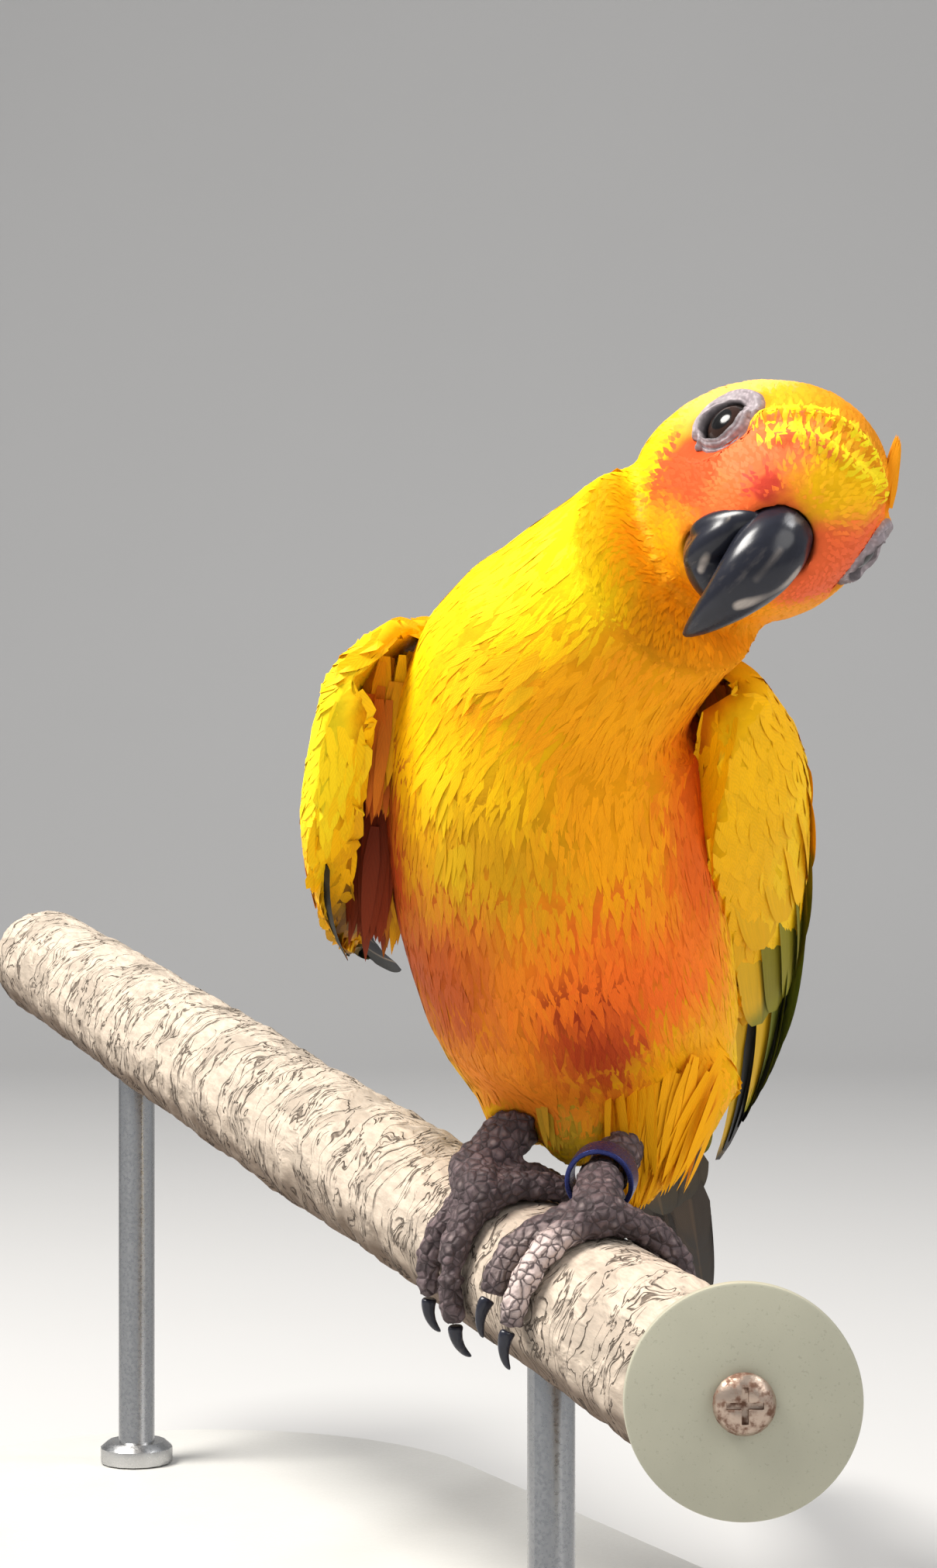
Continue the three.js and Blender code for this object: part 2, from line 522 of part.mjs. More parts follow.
function wingVanes(tier, sheet) {
  return Array.from({ length: tier.count }, (_, i) => {
    const share = i / (tier.count - 1);
    const c = mix(tier.across[0], tier.across[1], share);
    const rootS = mix(tier.root[0], tier.root[1], share);
    const tipS = mix(tier.tip[0], tier.tip[1], share) + draw(0.012);
    const width = tier.width * (1 + draw(0.06));
    const roll = radians(11 + draw(1));
    const centres = [];
    const across = [];
    const normals = [];
    for (let k = 0; k < VANE.sections; k++) {
      const u = k / VANE.sections;
      const s = mix(rootS, tipS, u);
      const out = sheet.out(s, c);
      const along = sheet.at(s + 0.01, c).sub(sheet.at(s - 0.01, c)).normalize();
      const side = out.clone().cross(along).normalize().applyAxisAngle(along, roll);
      centres.push(sheet.at(s, c).addScaledVector(out, tier.lift - 1.7 * (1 - u) ** 2 - 0.1));
      across.push(side);
      normals.push(along.clone().cross(side));
    }
    const tip = sheet.at(Math.min(tipS, 1), c).addScaledVector(normals.at(-1), tier.lift - 0.1);
    return vane(centres, across, normals, width, tip);
  });
}

function lobe({ at, size }, grow = 0) {
  return solid(new THREE.SphereGeometry(1, 16, 10).scale(...size.map((s) => s + grow)).translate(...at));
}

function wings() {
  for (const [name, wing] of Object.entries(WINGS)) {
    const sheet = wingSheet(wing);
    const vanes = WING_TIERS.flatMap((tier) => wingVanes(tier, sheet));
    const whole = join([wingCore(wing, sheet), lobe(wing.shoulder), ...vanes]);
    addPiece(`wing_${name}`, cut(whole, trunkGrown, torsoGrown), COLOURS.wing, 0.8);
  }
}

// Tail: a flat core with graduated feathers, the middle pair on top
function tail() {
  const root = vec(TAIL.root);
  const along = vec(TAIL.tip).sub(root).normalize();
  const side = along.clone().cross(new THREE.Vector3(0, 0, 1)).normalize();
  const up = side.clone().cross(along);
  const at = (a, s, h) => root.clone().addScaledVector(along, a).addScaledVector(side, s).addScaledVector(up, h);
  const coreRings = [0, 0.25, 0.5, 0.75, 1].map((u) => oval(at(u * TAIL.coreLength, 0, 0), side, up,
    TAIL.coreWide * (1 - 0.45 * u), TAIL.coreDeep * (1 - 0.7 * u), TAIL.coreDeep * (1 - 0.7 * u), 14));
  const bodies = [solid(overRings(coreRings))];
  const feather = (length, width, start, sideways, lift, drop, roll) => {
    const turn = radians(roll);
    const across = side.clone().applyAxisAngle(along, turn);
    const normal = up.clone().applyAxisAngle(along, turn);
    const sections = VANE.sections;
    const line = (u) => at(start + u * (length - start), sideways * (0.35 + 0.65 * Math.min(1, 2 * u)), lift - drop * u * u);
    const centres = Array.from({ length: sections }, (_, k) => line(k / sections));
    return vane(centres, centres.map(() => across), centres.map(() => normal), width, line(1));
  };
  TAIL.lengths.forEach((length, rank) => {
    for (const half of [-1, 1]) {
      const lift = rank === 0 ? 1.9 + half * TAIL.step / 2 : 1.3 - rank * TAIL.step;
      const offset = rank === 0 ? half * 0.5 : half * (TAIL.spread + 2.35 + 0.2 * rank);
      const width = rank === 0 ? TAIL.width * 1.1 : TAIL.width * 0.86;
      bodies.push(feather(length + draw(1.2), width, 6, offset, lift, 0.4, rank === 0 ? 0 : half * -2));
    }
  });
  for (let k = 0; k < TAIL.coverts; k++) {
    const share = k / (TAIL.coverts - 1) * 2 - 1;
    const middle = 1 - Math.abs(share);
    bodies.push(feather(30 + 10 * middle, 8.5, 0, share * 6, 3.1 + 0.7 * middle, 0, -share * 12));
    bodies.push(feather(44 + 10 * middle, 8.5, 0, share * 5.4, -3.6 - 0.7 * middle, -0.8, share * 12));
  }
  addPiece('tail', cut(join(bodies), trunkGrown), COLOURS.tail, 0.75);
}

// Feet grip the branch: each toe follows its round surface, and a claw carries on from its end
function aroundBranch(along, degrees, lift) {
  const share = branchShareAt(along);
  const angle = radians(90 + degrees);
  const radius = branchRadius(share, angle) + lift;
  return branchPoint(share).addScaledVector(branchSide, radius * Math.cos(angle)).addScaledVector(branchUp, radius * Math.sin(angle));
}

function toeBody(leg, toe) {
  const steps = 8;
  const stations = Array.from({ length: steps + 1 }, (_, k) => {
    const u = k / steps;
    const knuckle = 1 + 0.09 * Math.sin(2 * Math.PI * TOE.knuckles * u - 1);
    const r = mix(TOE.radius, TOE.endRadius, u) * knuckle;
    const spread = toe.shift * Math.min(1, 0.35 + 1.1 * u);
    const at = aroundBranch(leg.along + spread, leg.round + mix(toe.from, toe.to, u), mix(TOE.radius, TOE.endRadius, u));
    return { at: at.toArray(), r };
  });
  return taperedTube(stations, TOE.sides);
}

function clawBody(leg, toe, grow) {
  const end = leg.round + toe.to;
  const place = leg.along + toe.shift;
  const start = aroundBranch(place, end + toe.side * 3, TOE.endRadius + 0.4);
  const heading = aroundBranch(place, end + toe.side * 9, TOE.endRadius + 0.4).sub(start).normalize();
  const out = start.clone().sub(branchPoint(branchShareAt(place)));
  out.addScaledVector(heading, -out.dot(heading)).normalize();
  const rings = [];
  const point = start.clone();
  for (let k = 0; k < CLAW.sections; k++) {
    const u = k / CLAW.sections;
    const bend = radians(-25 + CLAW.bend * u);
    const ahead = heading.clone().multiplyScalar(Math.cos(bend)).addScaledVector(out, -Math.sin(bend));
    const up = heading.clone().multiplyScalar(Math.sin(bend)).addScaledVector(out, Math.cos(bend));
    const side = ahead.clone().cross(up);
    const r = CLAW.radius * (1 - 0.8 * u) + grow;
    rings.push(oval(point.clone(), side, up, r * 0.85, r, r, CLAW.sides));
    point.addScaledVector(ahead, CLAW.length / CLAW.sections);
  }
  return solid(overRings(rings, null, point));
}

function ringBand(grow) {
  const { radius, wall, height } = LEG_RING;
  const [inner, outer] = [radius - wall - grow, radius + grow];
  const profile = [[inner, -grow], [outer, -grow], [outer, height + grow], [inner, height + grow], [inner, -grow]];
  return turned(profile, vec(LEG_RING.at), vec(LEG_RING.axis), 24);
}

function legs() {
  const thighBody = (leg, grow) => join([taperedTube(leg.thigh, 16, grow), lobe(leg.tuft, grow)]);
  const thighsGrown = Object.values(LEGS).map((leg) => thighBody(leg, GAP));
  for (const [name, leg] of Object.entries(LEGS)) {
    const ringSpace = name === 'left' ? [ringBand(GAP)] : [];
    const otherThigh = name === 'right' ? [thighsGrown[1]] : [];
    const thigh = cut(thighBody(leg, 0), trunkGrown, torsoGrown, branchGrown, ...otherThigh, ...ringSpace);
    const pad = aroundBranch(leg.along, leg.round, TOE.radius + 0.6).toArray();
    const sole = solid(new THREE.SphereGeometry(4.3, 12, 8).translate(...pad));
    const shank = taperedTube([...leg.shank, { at: pad, r: 4 }], 12);
    const claws = leg.toes.map((toe) => cut(clawBody(leg, toe, 0), branchGrown));
    const clawsGrown = leg.toes.map((toe) => clawBody(leg, toe, GAP));
    const foot = cut(join([shank, sole, ...leg.toes.map((toe) => toeBody(leg, toe))]),
      ...thighsGrown, trunkGrown, branchGrown, ...clawsGrown, ...ringSpace);
    addPiece(`thigh_${name}`, thigh, COLOURS.yellow, 0.85);
    addPiece(`foot_${name}`, foot, COLOURS.skin, 0.8);
    claws.forEach((claw, i) => addPiece(`claw_${name}_${i + 1}`, claw, COLOURS.horn, 0.4));
  }
  addPiece('leg_ring', ringBand(0), COLOURS.ring, 0.4, 0.5);
}

perch();
stand();
addPiece('torso', torsoBody, COLOURS.orange, 0.85);
headAndNeck();
wings();
tail();
legs();

export default conure;
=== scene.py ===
"""Sun conure standing on a short branch over a plain display stand, life size, in metres with +Z up.

The frame gives the solids. One skin stands for the flesh, and feathers, bill, eyes, feet and perch are
modelled over it. The bird faces -Y and its left side is towards +X.
"""
import math

import bpy
import numpy as np
from mathutils import Matrix, Vector, kdtree, noise
from mathutils.bvhtree import BVHTree


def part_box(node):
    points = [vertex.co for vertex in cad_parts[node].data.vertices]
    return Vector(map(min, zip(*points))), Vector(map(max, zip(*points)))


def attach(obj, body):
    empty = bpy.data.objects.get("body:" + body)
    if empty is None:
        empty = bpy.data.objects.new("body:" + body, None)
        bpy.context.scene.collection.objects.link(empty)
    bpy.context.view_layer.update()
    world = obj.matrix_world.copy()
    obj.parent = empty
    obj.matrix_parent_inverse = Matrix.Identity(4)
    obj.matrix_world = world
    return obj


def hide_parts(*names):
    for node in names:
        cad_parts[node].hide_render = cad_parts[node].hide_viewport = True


bl_info = {
    "name": "Sun Conure Model",
    "version": (1, 0, 0),
    "blender": (4, 5, 0),
    "location": "View3D > Sidebar > Conure",
    "description": "Plumage, bill, feet, perch, stand and studio for a life-size sun conure",
    "category": "Object",
}

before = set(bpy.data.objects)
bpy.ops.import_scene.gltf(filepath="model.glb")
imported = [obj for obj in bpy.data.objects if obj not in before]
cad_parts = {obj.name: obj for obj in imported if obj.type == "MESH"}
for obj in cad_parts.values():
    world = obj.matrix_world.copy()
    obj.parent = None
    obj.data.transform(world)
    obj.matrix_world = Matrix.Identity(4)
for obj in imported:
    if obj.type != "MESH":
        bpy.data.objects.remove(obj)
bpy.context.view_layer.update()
MM = 0.001
BODY = "root"

# Middle line of the body from the tail root to inside the head, in millimetres
SPINE = np.array([
    (31.2, 41, 86), (29.3, 34, 89.5), (25.5, 25, 95), (20, 14, 103), (16.3, 4, 113.2), (13.4, -5, 125),
    (12, -13, 136.8), (11.7, -19.5, 147), (13.9, -25, 154), (20, -30, 159.4), (25.6, -33.2, 166.2),
    (31.1, -35, 173), (36.6, -35, 179.4),
])
HEAD_AT = np.array((45.2, -42, 179.6))
HEAD_TURN, HEAD_NOD, HEAD_TILT = 11, 6, 42.5
EYE_OUT, EYE_FACING, HEAD_OFFSET = 14.4, 66, -0.9
BRANCH_NEAR = np.array((33, -58, 59.5))
BRANCH_FAR = np.array((-89, 194, 103))
THIGH_LINES = (((9, 8, 99), (7.6, -1.8, 89)), ((29, 5, 97), (24.4, -7, 78.4)))

# Wings: wrist (Y, Z), droop in degrees, first place and reach along the wing, thickness at the leading edge
# and over the back, and side. Then, for eight even steps, the leading edge, the crest and the edge over the
# back, each as distance across (X) and lift from the wing's line
WINGS = {
    "right": {
        "wrist": (-28, 152), "droop": 20, "start": -2, "reach": 130, "fore": 7, "aft": 2.2, "side": -1,
        "lead": ((-19.5, -5), (-22, -20), (-20.4, -23), (-18.8, -20.5),
                 (-17.6, -16), (-16.5, -11), (-15, -6), (-13, -1)),
        "crest": ((-19.5, 3), (-21.5, 0), (-21.5, -3), (-21.5, -2),
                  (-21.2, -1), (-20, 0), (-17.4, 1), (-14.5, 2)),
        "over": ((-11, 11), (-3, 18), (-1, 18.5), (-0.5, 15), (-2, 11.5), (-5, 9.5), (-9, 8.5), (-11, 6)),
    },
    "left": {
        "wrist": (-31, 150), "droop": 32, "start": -2, "reach": 147, "fore": 6, "aft": 2.2, "side": 1,
        "lead": ((36, -5), (34.5, -11.5), (38, -12), (41.5, -12), (44.5, -10), (46, -7), (46, -4), (45, -1)),
        "crest": ((41.5, 3), (48.7, 6), (50.8, 6), (51.4, 3), (51, 1), (49.8, 1), (48.5, 2), (46.5, 2)),
        "over": ((33, 10), (27, 24), (26.5, 25), (28.5, 19), (34, 12), (38, 9), (41, 8), (43, 5)),
    },
}
WING_SKIN_END = 0.52

# Rows of wing feathers: count, share of the reach at root and tip, each for the first and last feather, from
# and to across the wing, width, lift, and the colours of the outer web, the inner web, the tip and the shaft
WING_ROWS = (
    ("primaries", 9, (0.42, 0.5), (1.0, 0.78), (0.04, 0.55), 8.6, -0.6,
     (0.05, 0.05, 0.045), (0.03, 0.028, 0.03), (0.03, 0.028, 0.03), (0.34, 0.27, 0.2)),
    ("secondaries", 10, (0.36, 0.24), (0.85, 0.64), (0.16, 0.92), 9.4, -0.25,
     (0.2, 0.22, 0.025), (0.07, 0.09, 0.025), (0.58, 0.55, 0.03), (0.1, 0.1, 0.03)),
    ("greater_coverts", 11, (0.26, 0.18), (0.54, 0.46), (0.08, 0.94), 9.2, 0.0,
     (0.26, 0.22, 0.014), (0.14, 0.14, 0.014), (0.3, 0.27, 0.02), (0.16, 0.14, 0.02)),
    ("median_coverts", 11, (0.14, 0.08), (0.365, 0.31), (0.0, 0.98), 10.6, 0.25,
     (0.93, 0.5, 0.003), (0.88, 0.46, 0.003), (0.93, 0.5, 0.004), (0.9, 0.47, 0.004)),
)

# Loose tufts: middle of the roots, their spread, middle of the tips, their spread, count and width
TUFTS = (
    ("thigh", (29, -5, 97), (8.5, 3.5, 3.5), (26.5, -9.5, 83), (5, 2.2, 3.2), 420, 1.6),
    ("thigh_tip", (26.5, -7.5, 91), (4.8, 2.2, 3), (24, -9.8, 78), (1.8, 1.2, 1.2), 160, 1.3),
    ("belly", (14.6, -4, 95.5), (4.4, 2.5, 2.5), (15, -5.8, 86.5), (3.6, 1.6, 1.4), 150, 1.5),
    ("flank", (-11.5, -6, 145), (3.2, 4, 11), (-12.5, 4, 122), (2.8, 5, 8), 240, 2.6),
    ("axillary", (-13.5, -10, 137), (3.2, 2, 5), (-15, -8, 119), (3.6, 2, 3.4), 80, 2.2),
    ("shoulder_right", (-10.5, -19, 155), (5, 5, 4), (-13, -17, 139), (3.6, 4, 5), 200, 2.4),
    ("shoulder_left", (37, -20, 153), (3.6, 4, 3), (38.5, -18, 140), (3, 3, 4), 140, 2.4),
    ("crown", (56.8, -42, 178), (0.8, 1, 1.8), (58.7, -41.5, 186.8), (0.5, 0.4, 1.2), 36, 0.9),
)

TAIL_ROOT = np.array((29.5, 42, 85.2))
TAIL_TIP = np.array((42.8, 156, 35.6))
TAIL_LENGTHS = (125, 116, 101, 85, 69)

FEATHER_SWING = 0.12            # spread of the small feathers about the lie
FEATHER_SINK = 0.14             # how deep their roots stand in the skin
FEATHERS_PER_PIECE = 6400
EYE_RING_REACH = 6.1
TUFT_PATCH = (0.003, 0.003)     # size of a small feather on the bake map


# Settings that a user would change

def colour_setting(name, description, rgb):
    return bpy.props.FloatVectorProperty(
        name=name, description=description, subtype="COLOR", size=3, min=0, max=1, default=rgb)


def length_setting(name, description, metres):
    return bpy.props.FloatProperty(
        name=name, description=description, default=metres, min=0,
        subtype="DISTANCE", unit="LENGTH", precision=5)


class ConurePlumage(bpy.types.PropertyGroup):
    """Sizes of the small feathers."""
    body_length: length_setting("Body feather", "Length of a feather on the breast and back", 0.0096)
    head_length: length_setting("Head feather", "Length of a feather on the crown", 0.0042)
    face_length: length_setting("Face feather", "Length of a feather beside the bill", 0.0024)
    body_width: length_setting("Body width", "Width of a feather on the breast and back", 0.0018)
    head_width: length_setting("Head width", "Width of a feather on the crown", 0.0011)
    body_spacing: length_setting("Body spacing", "Distance between feathers on the body", 0.00098)
    head_spacing: length_setting("Head spacing", "Distance between feathers on the head", 0.0007)
    depth: length_setting("Coat depth", "How far the skin lies inside the solids", 0.0006)
    seed: bpy.props.IntProperty(name="Seed", description="Start of the small random differences", default=7)


class ConureColours(bpy.types.PropertyGroup):
    """Colours of the bird's bare parts and of the made things."""
    horn: colour_setting("Bill", "Blue-black horn of the bill", (0.013, 0.014, 0.022))
    # The pale horn colour also paints the highlights on the bill
    horn_pale: colour_setting("Bill edge", "Pale worn horn on the bill", (0.46, 0.4, 0.35))
    eye_ring: colour_setting("Eye ring", "Bare skin round the eye", (0.36, 0.3, 0.32))
    iris: colour_setting("Iris", "Dark brown iris", (0.02, 0.009, 0.006))
    foot: colour_setting("Foot", "Scaly skin of the feet", (0.1, 0.072, 0.076))
    foot_pale: colour_setting("Foot scales", "Sunlit scales of the feet", (0.62, 0.5, 0.47))
    ring: colour_setting("Leg ring", "Anodised metal of the leg ring", (0.03, 0.04, 0.16))
    bark: colour_setting("Bark", "Pale weathered wood", (0.62, 0.52, 0.42))
    # The crack colour also paints the shade on the branch's underside
    bark_dark: colour_setting("Bark cracks", "Dark wood in cracks and underneath", (0.1, 0.062, 0.04))
    washer: colour_setting("Washer", "Sage plastic washer", (0.4, 0.39, 0.3))
    stand: colour_setting("Stand", "Painted base plate", (0.62, 0.61, 0.58))
    floor: colour_setting("Floor", "Pale studio floor", (0.54, 0.535, 0.53))


class ConureStudio(bpy.types.PropertyGroup):
    """Camera and light."""
    camera_at: bpy.props.FloatVectorProperty(
        name="Camera place", description="Place of the camera", size=3, subtype="TRANSLATION",
        default=(0, -0.48, 0.14))
    lens: bpy.props.FloatProperty(
        name="Lens", description="Focal length on a 36 mm high sensor", default=73.57)
    key: bpy.props.FloatProperty(name="Key light", description="Power of the light from above", default=21)
    fill: bpy.props.FloatProperty(
        name="Fill light", description="Power of the light from the front", default=3.4)


def plumage():
    return bpy.context.scene.conure_plumage


def colours():
    return bpy.context.scene.conure_colours


def coarseness():
    """How much wider and sparser the feathers are; 1 gives the full coat."""
    return 1.0


# Modelling helpers

def unit(v):
    return v / np.maximum(np.linalg.norm(v, axis=-1, keepdims=True), 1e-9)


def square_to(direction, axis):
    """A direction with what runs along the axis taken out."""
    return unit(direction - axis * (direction * axis).sum(-1, keepdims=True))


def smooth_share(value, low, high):
    """A soft step from 0 at the low value to 1 at the high one."""
    share = np.clip((np.asarray(value, float) - low) / (high - low), 0, 1)
    return share * share * (3 - 2 * share)


def nearness(points, place, inner, outer):
    """How near points are to a place: 1 within the inner distance, 0 beyond the outer."""
    return 1 - smooth_share(np.linalg.norm(points - np.array(place), axis=1), inner, outer)


def resampled(line, count):
    """Places spaced evenly by step along a chain of points."""
    steps = np.linspace(0, len(line) - 1, count)
    return np.stack([np.interp(steps, np.arange(len(line)), line[:, k]) for k in range(3)], -1)


def head_axes():
    tilt = math.radians(HEAD_TILT)
    up = Vector((math.sin(tilt), 0, math.cos(tilt)))
    left = Vector((math.cos(tilt), 0, -math.sin(tilt)))
    turn = Matrix.Rotation(math.radians(HEAD_TURN), 3, up)
    forward = turn @ Vector((0, -1, 0))
    left = turn @ left
    nod = Matrix.Rotation(math.radians(HEAD_NOD), 3, left)
    return np.array(nod @ forward), np.array(left), np.array(nod @ up)


FORWARD, LEFT, UP = head_axes()


def on_head(forward, left, up):
    """A place on the head, from millimetres along its own axes."""
    return HEAD_AT + forward * FORWARD + left * LEFT + up * UP


EYES = [on_head(0, HEAD_OFFSET + side * EYE_OUT, 0) for side in (-1, 1)]
BILL_ROOT = on_head(13, HEAD_OFFSET, -5)


def select_only(*objects):
    """Selects just these objects, the first of them active, or none."""
    bpy.ops.object.select_all(action="DESELECT")
    for obj in objects:
        obj.select_set(True)
    if objects:
        bpy.context.view_layer.objects.active = objects[0]


def modify(obj, kind, **settings):
    modifier = obj.modifiers.new(kind.lower(), kind)
    for key, value in settings.items():
        setattr(modifier, key, value)
    select_only(obj)
    bpy.ops.object.modifier_apply(modifier=modifier.name)


def finish_piece(obj, material, replaced=()):
    """Gives a piece its finish and its place in the frame."""
    obj.data.materials.clear()
    obj.data.materials.append(material)
    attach(obj, BODY)
    if replaced:
        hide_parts(*replaced)
    return obj


def copy_of_nodes(name, nodes):
    """One merged copy of the named solids, at the same place."""
    copies = []
    for node in nodes:
        copy = bpy.data.objects.new(name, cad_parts[node].data.copy())
        bpy.context.scene.collection.objects.link(copy)
        copies.append(copy)
    select_only(*copies)
    if len(copies) > 1:
        bpy.ops.object.join()
    bpy.ops.object.mode_set(mode="EDIT")
    bpy.ops.mesh.select_all(action="SELECT")
    bpy.ops.mesh.remove_doubles(threshold=1e-6)
    bpy.ops.object.mode_set(mode="OBJECT")
    copies[0].name = name
    return copies[0]


def fine_copy(name, nodes, voxel, rounds, grow=0.0, rounded=False, added=()):
    """A finer, rounded copy of solids, for the natural forms. Added pieces melt into it."""
    obj = copy_of_nodes(name, nodes)
    if rounded:
        modify(obj, "SUBSURF", levels=2, render_levels=2)
    if added:
        select_only(obj, *added)
        bpy.ops.object.join()
    if grow:
        modify(obj, "DISPLACE", strength=grow, mid_level=0)
    modify(obj, "REMESH", mode="VOXEL", voxel_size=voxel)
    modify(obj, "SMOOTH", factor=0.5, iterations=rounds)
    shade_smooth(obj)
    return obj


def edged_copy(name, node, width, limit, smooth):
    """A copy of one solid with its edges rounded, for the made pieces; angles in degrees."""
    obj = copy_of_nodes(name, (node,))
    modify(obj, "BEVEL", width=width, segments=2, limit_method="ANGLE", angle_limit=math.radians(limit))
    shade_smooth(obj, smooth)
    return obj


def swelling(start, end, radius):
    """An egg-shaped swelling between two places, in millimetres."""
    start, end, radius = Vector(start) * MM, Vector(end) * MM, radius * MM
    run = end - start
    select_only()
    middle = (start + end) / 2
    bpy.ops.mesh.primitive_uv_sphere_add(segments=32, ring_count=20, radius=radius, location=middle)
    obj = bpy.context.active_object
    obj.scale = (1, 1, 1 + run.length / 2 / radius)
    obj.rotation_euler = Vector((0, 0, 1)).rotation_difference(run).to_euler()
    bpy.ops.object.transform_apply(location=True, rotation=True, scale=True)
    return obj


def shade_smooth(obj, angle=None):
    select_only(obj)
    if angle is None:
        bpy.ops.object.shade_smooth()
    else:
        bpy.ops.object.shade_smooth_by_angle(angle=math.radians(angle))


def points_of(obj):
    flat = np.empty(len(obj.data.vertices) * 3)
    obj.data.vertices.foreach_get("co", flat)
    return flat.reshape(-1, 3)


def set_points(obj, points):
    obj.data.vertices.foreach_set("co", np.ascontiguousarray(points, dtype=np.float32).ravel())
    obj.data.update()


def normals_of(obj):
    flat = np.empty(len(obj.data.vertices) * 3)
    obj.data.vertices.foreach_get("normal", flat)
    return flat.reshape(-1, 3)


def box_of(node):
    """Low and high corners of a solid, in metres."""
    return [np.array(corner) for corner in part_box(node)]


def mesh_piece(name, points, faces, totals, smooth=True):
    """A mesh object from arrays: points in metres, corner numbers in one row, and corners per face."""
    mesh = bpy.data.meshes.new(name)
    mesh.vertices.add(len(points))
    mesh.vertices.foreach_set("co", np.asarray(points, np.float32).ravel())
    mesh.loops.add(len(faces))
    mesh.loops.foreach_set("vertex_index", np.asarray(faces, np.int32))
    starts = np.concatenate(([0], np.cumsum(totals)[:-1]))
    mesh.polygons.add(len(totals))
    mesh.polygons.foreach_set("loop_start", starts.astype(np.int32))
    mesh.polygons.foreach_set("loop_total", np.asarray(totals, np.int32))
    mesh.polygons.foreach_set("use_smooth", np.full(len(totals), smooth))
    mesh.update(calc_edges=True)
    obj = bpy.data.objects.new(name, mesh)
    bpy.context.scene.collection.objects.link(obj)
    return obj


def face_outward(obj):
    select_only(obj)
    bpy.ops.object.mode_set(mode="EDIT")
    bpy.ops.mesh.select_all(action="SELECT")
    bpy.ops.mesh.normals_make_consistent(inside=False)
    bpy.ops.object.mode_set(mode="OBJECT")
    return obj


def ring_body(name, rings):
    """Closed body over rings of equal count, with a point at each end; rings in metres."""
    rows, count = rings.shape[:2]
    points = np.vstack((rings.reshape(-1, 3), rings[0].mean(0), rings[-1].mean(0)))
    here = np.arange(count)
    after = (here + 1) % count
    first = np.arange(rows - 1)[:, None] * count
    quads = np.stack((first + here, first + after, first + after + count, first + here + count), -1)
    last = (rows - 1) * count
    start_cap = np.stack((after, here, np.full(count, rows * count)), -1)
    end_cap = np.stack((last + here, last + after, np.full(count, rows * count + 1)), -1)
    faces = np.concatenate([part.reshape(-1) for part in (quads, start_cap, end_cap)])
    totals = np.concatenate((np.full((rows - 1) * count, 4), np.full(2 * count, 3)))
    return face_outward(mesh_piece(name, points, faces, totals))


def hoop_body(name, rings):
    """Closed hoop over rings of equal count, the last joined to the first; rings in metres."""
    rows, count = rings.shape[:2]
    here = np.arange(count)
    after = (here + 1) % count
    near = np.arange(rows)[:, None] * count
    far = np.roll(near, -1, 0)
    faces = np.stack((near + here, near + after, far + after, far + here), -1)
    return face_outward(mesh_piece(name, rings.reshape(-1, 3), faces.reshape(-1), np.full(rows * count, 4)))


def carry(obj, name, values):
    """Stores a number or a vector on every point of a mesh, for its material to read."""
    values = np.asarray(values, np.float32)
    kind, field = ("FLOAT", "value") if values.ndim == 1 else ("FLOAT_VECTOR", "vector")
    obj.data.attributes.new(name, kind, "POINT").data.foreach_set(field, values.ravel())


# Vanes: every feather is a thin closed leaf over a row of sections

COARSE_SECTION = ((-1, 0), (0, 1), (1, 0), (0, -0.6))
FINE_SECTION = ((-1, -0.3), (-0.5, 0.3), (0, 1), (0.5, 0.3), (1, -0.3), (0.5, -0.3), (0, -0.6), (-0.5, -0.3))


def vane_piece(name, centres, across, up, half, thick, section, places, patch, features):
    """Builds feathers as one mesh. Arrays run feather by section, with the tip last; lengths in millimetres.

    A feature is a number or a vector for each feather, or a vector for each section and the tip."""
    count, rows = half.shape
    ring = np.array(section, float)
    corners = len(ring)
    wide = across[:, :rows, None] * (half[:, :, None, None] * ring[None, None, :, :1])
    thick = np.broadcast_to(thick, half.shape)
    deep = up[:, :rows, None] * (thick[:, :, None, None] * ring[None, None, :, 1:])
    points = (centres[:, :rows, None] + wide + deep).reshape(count, rows * corners, 3)
    points = np.concatenate((points, centres[:, rows:]), 1).reshape(-1, 3)

    here = np.arange(corners)
    after = (here + 1) % corners
    first = np.arange(rows - 1)[:, None] * corners
    quads = np.stack((first + here, first + after, first + after + corners, first + here + corners), -1)
    last = (rows - 1) * corners
    tip_faces = np.stack((last + here, last + after, np.full(corners, rows * corners)), -1)
    cap = here[::-1]
    one = np.concatenate((quads.reshape(-1), tip_faces.reshape(-1), cap))
    totals = np.concatenate((np.full((rows - 1) * corners, 4), np.full(corners, 3), (corners,)))
    per = rows * corners + 1
    faces = (np.arange(count)[:, None] * per + one).reshape(-1)
    obj = mesh_piece(name, points * MM, faces, np.tile(totals, count), smooth=False)

    along = np.append(np.repeat(np.arange(rows) / rows, corners), 1)[one]
    aside = np.append(np.tile(ring[:, 0], rows), 0)[one]
    turn = np.concatenate((np.tile(np.stack((here, here + 1, here + 1, here), -1).reshape(-1), rows - 1),
                           np.stack((here, here + 1, here + 0.5), -1).reshape(-1), cap)) / corners
    web = np.tile(np.stack((aside * 0.5 + 0.5, along), -1), (count, 1))
    bake = places[:, None] + np.stack((turn * patch[0], along * patch[1]), -1)[None]
    for title, flat in (("web", web), ("OFBake", bake)):
        obj.data.uv_layers.new(name=title).data.foreach_set("uv", flat.astype(np.float32).ravel())
    for key, value in features.items():
        value = np.asarray(value, np.float32)
        if value.ndim == 3:
            sections = np.repeat(value[:, :rows], corners, axis=1)
            value = np.concatenate((sections, value[:, rows:]), 1).reshape(-1, 3)
        else:
            value = np.repeat(value, per, axis=0)
        carry(obj, key, value)
    return obj


# Shader helpers

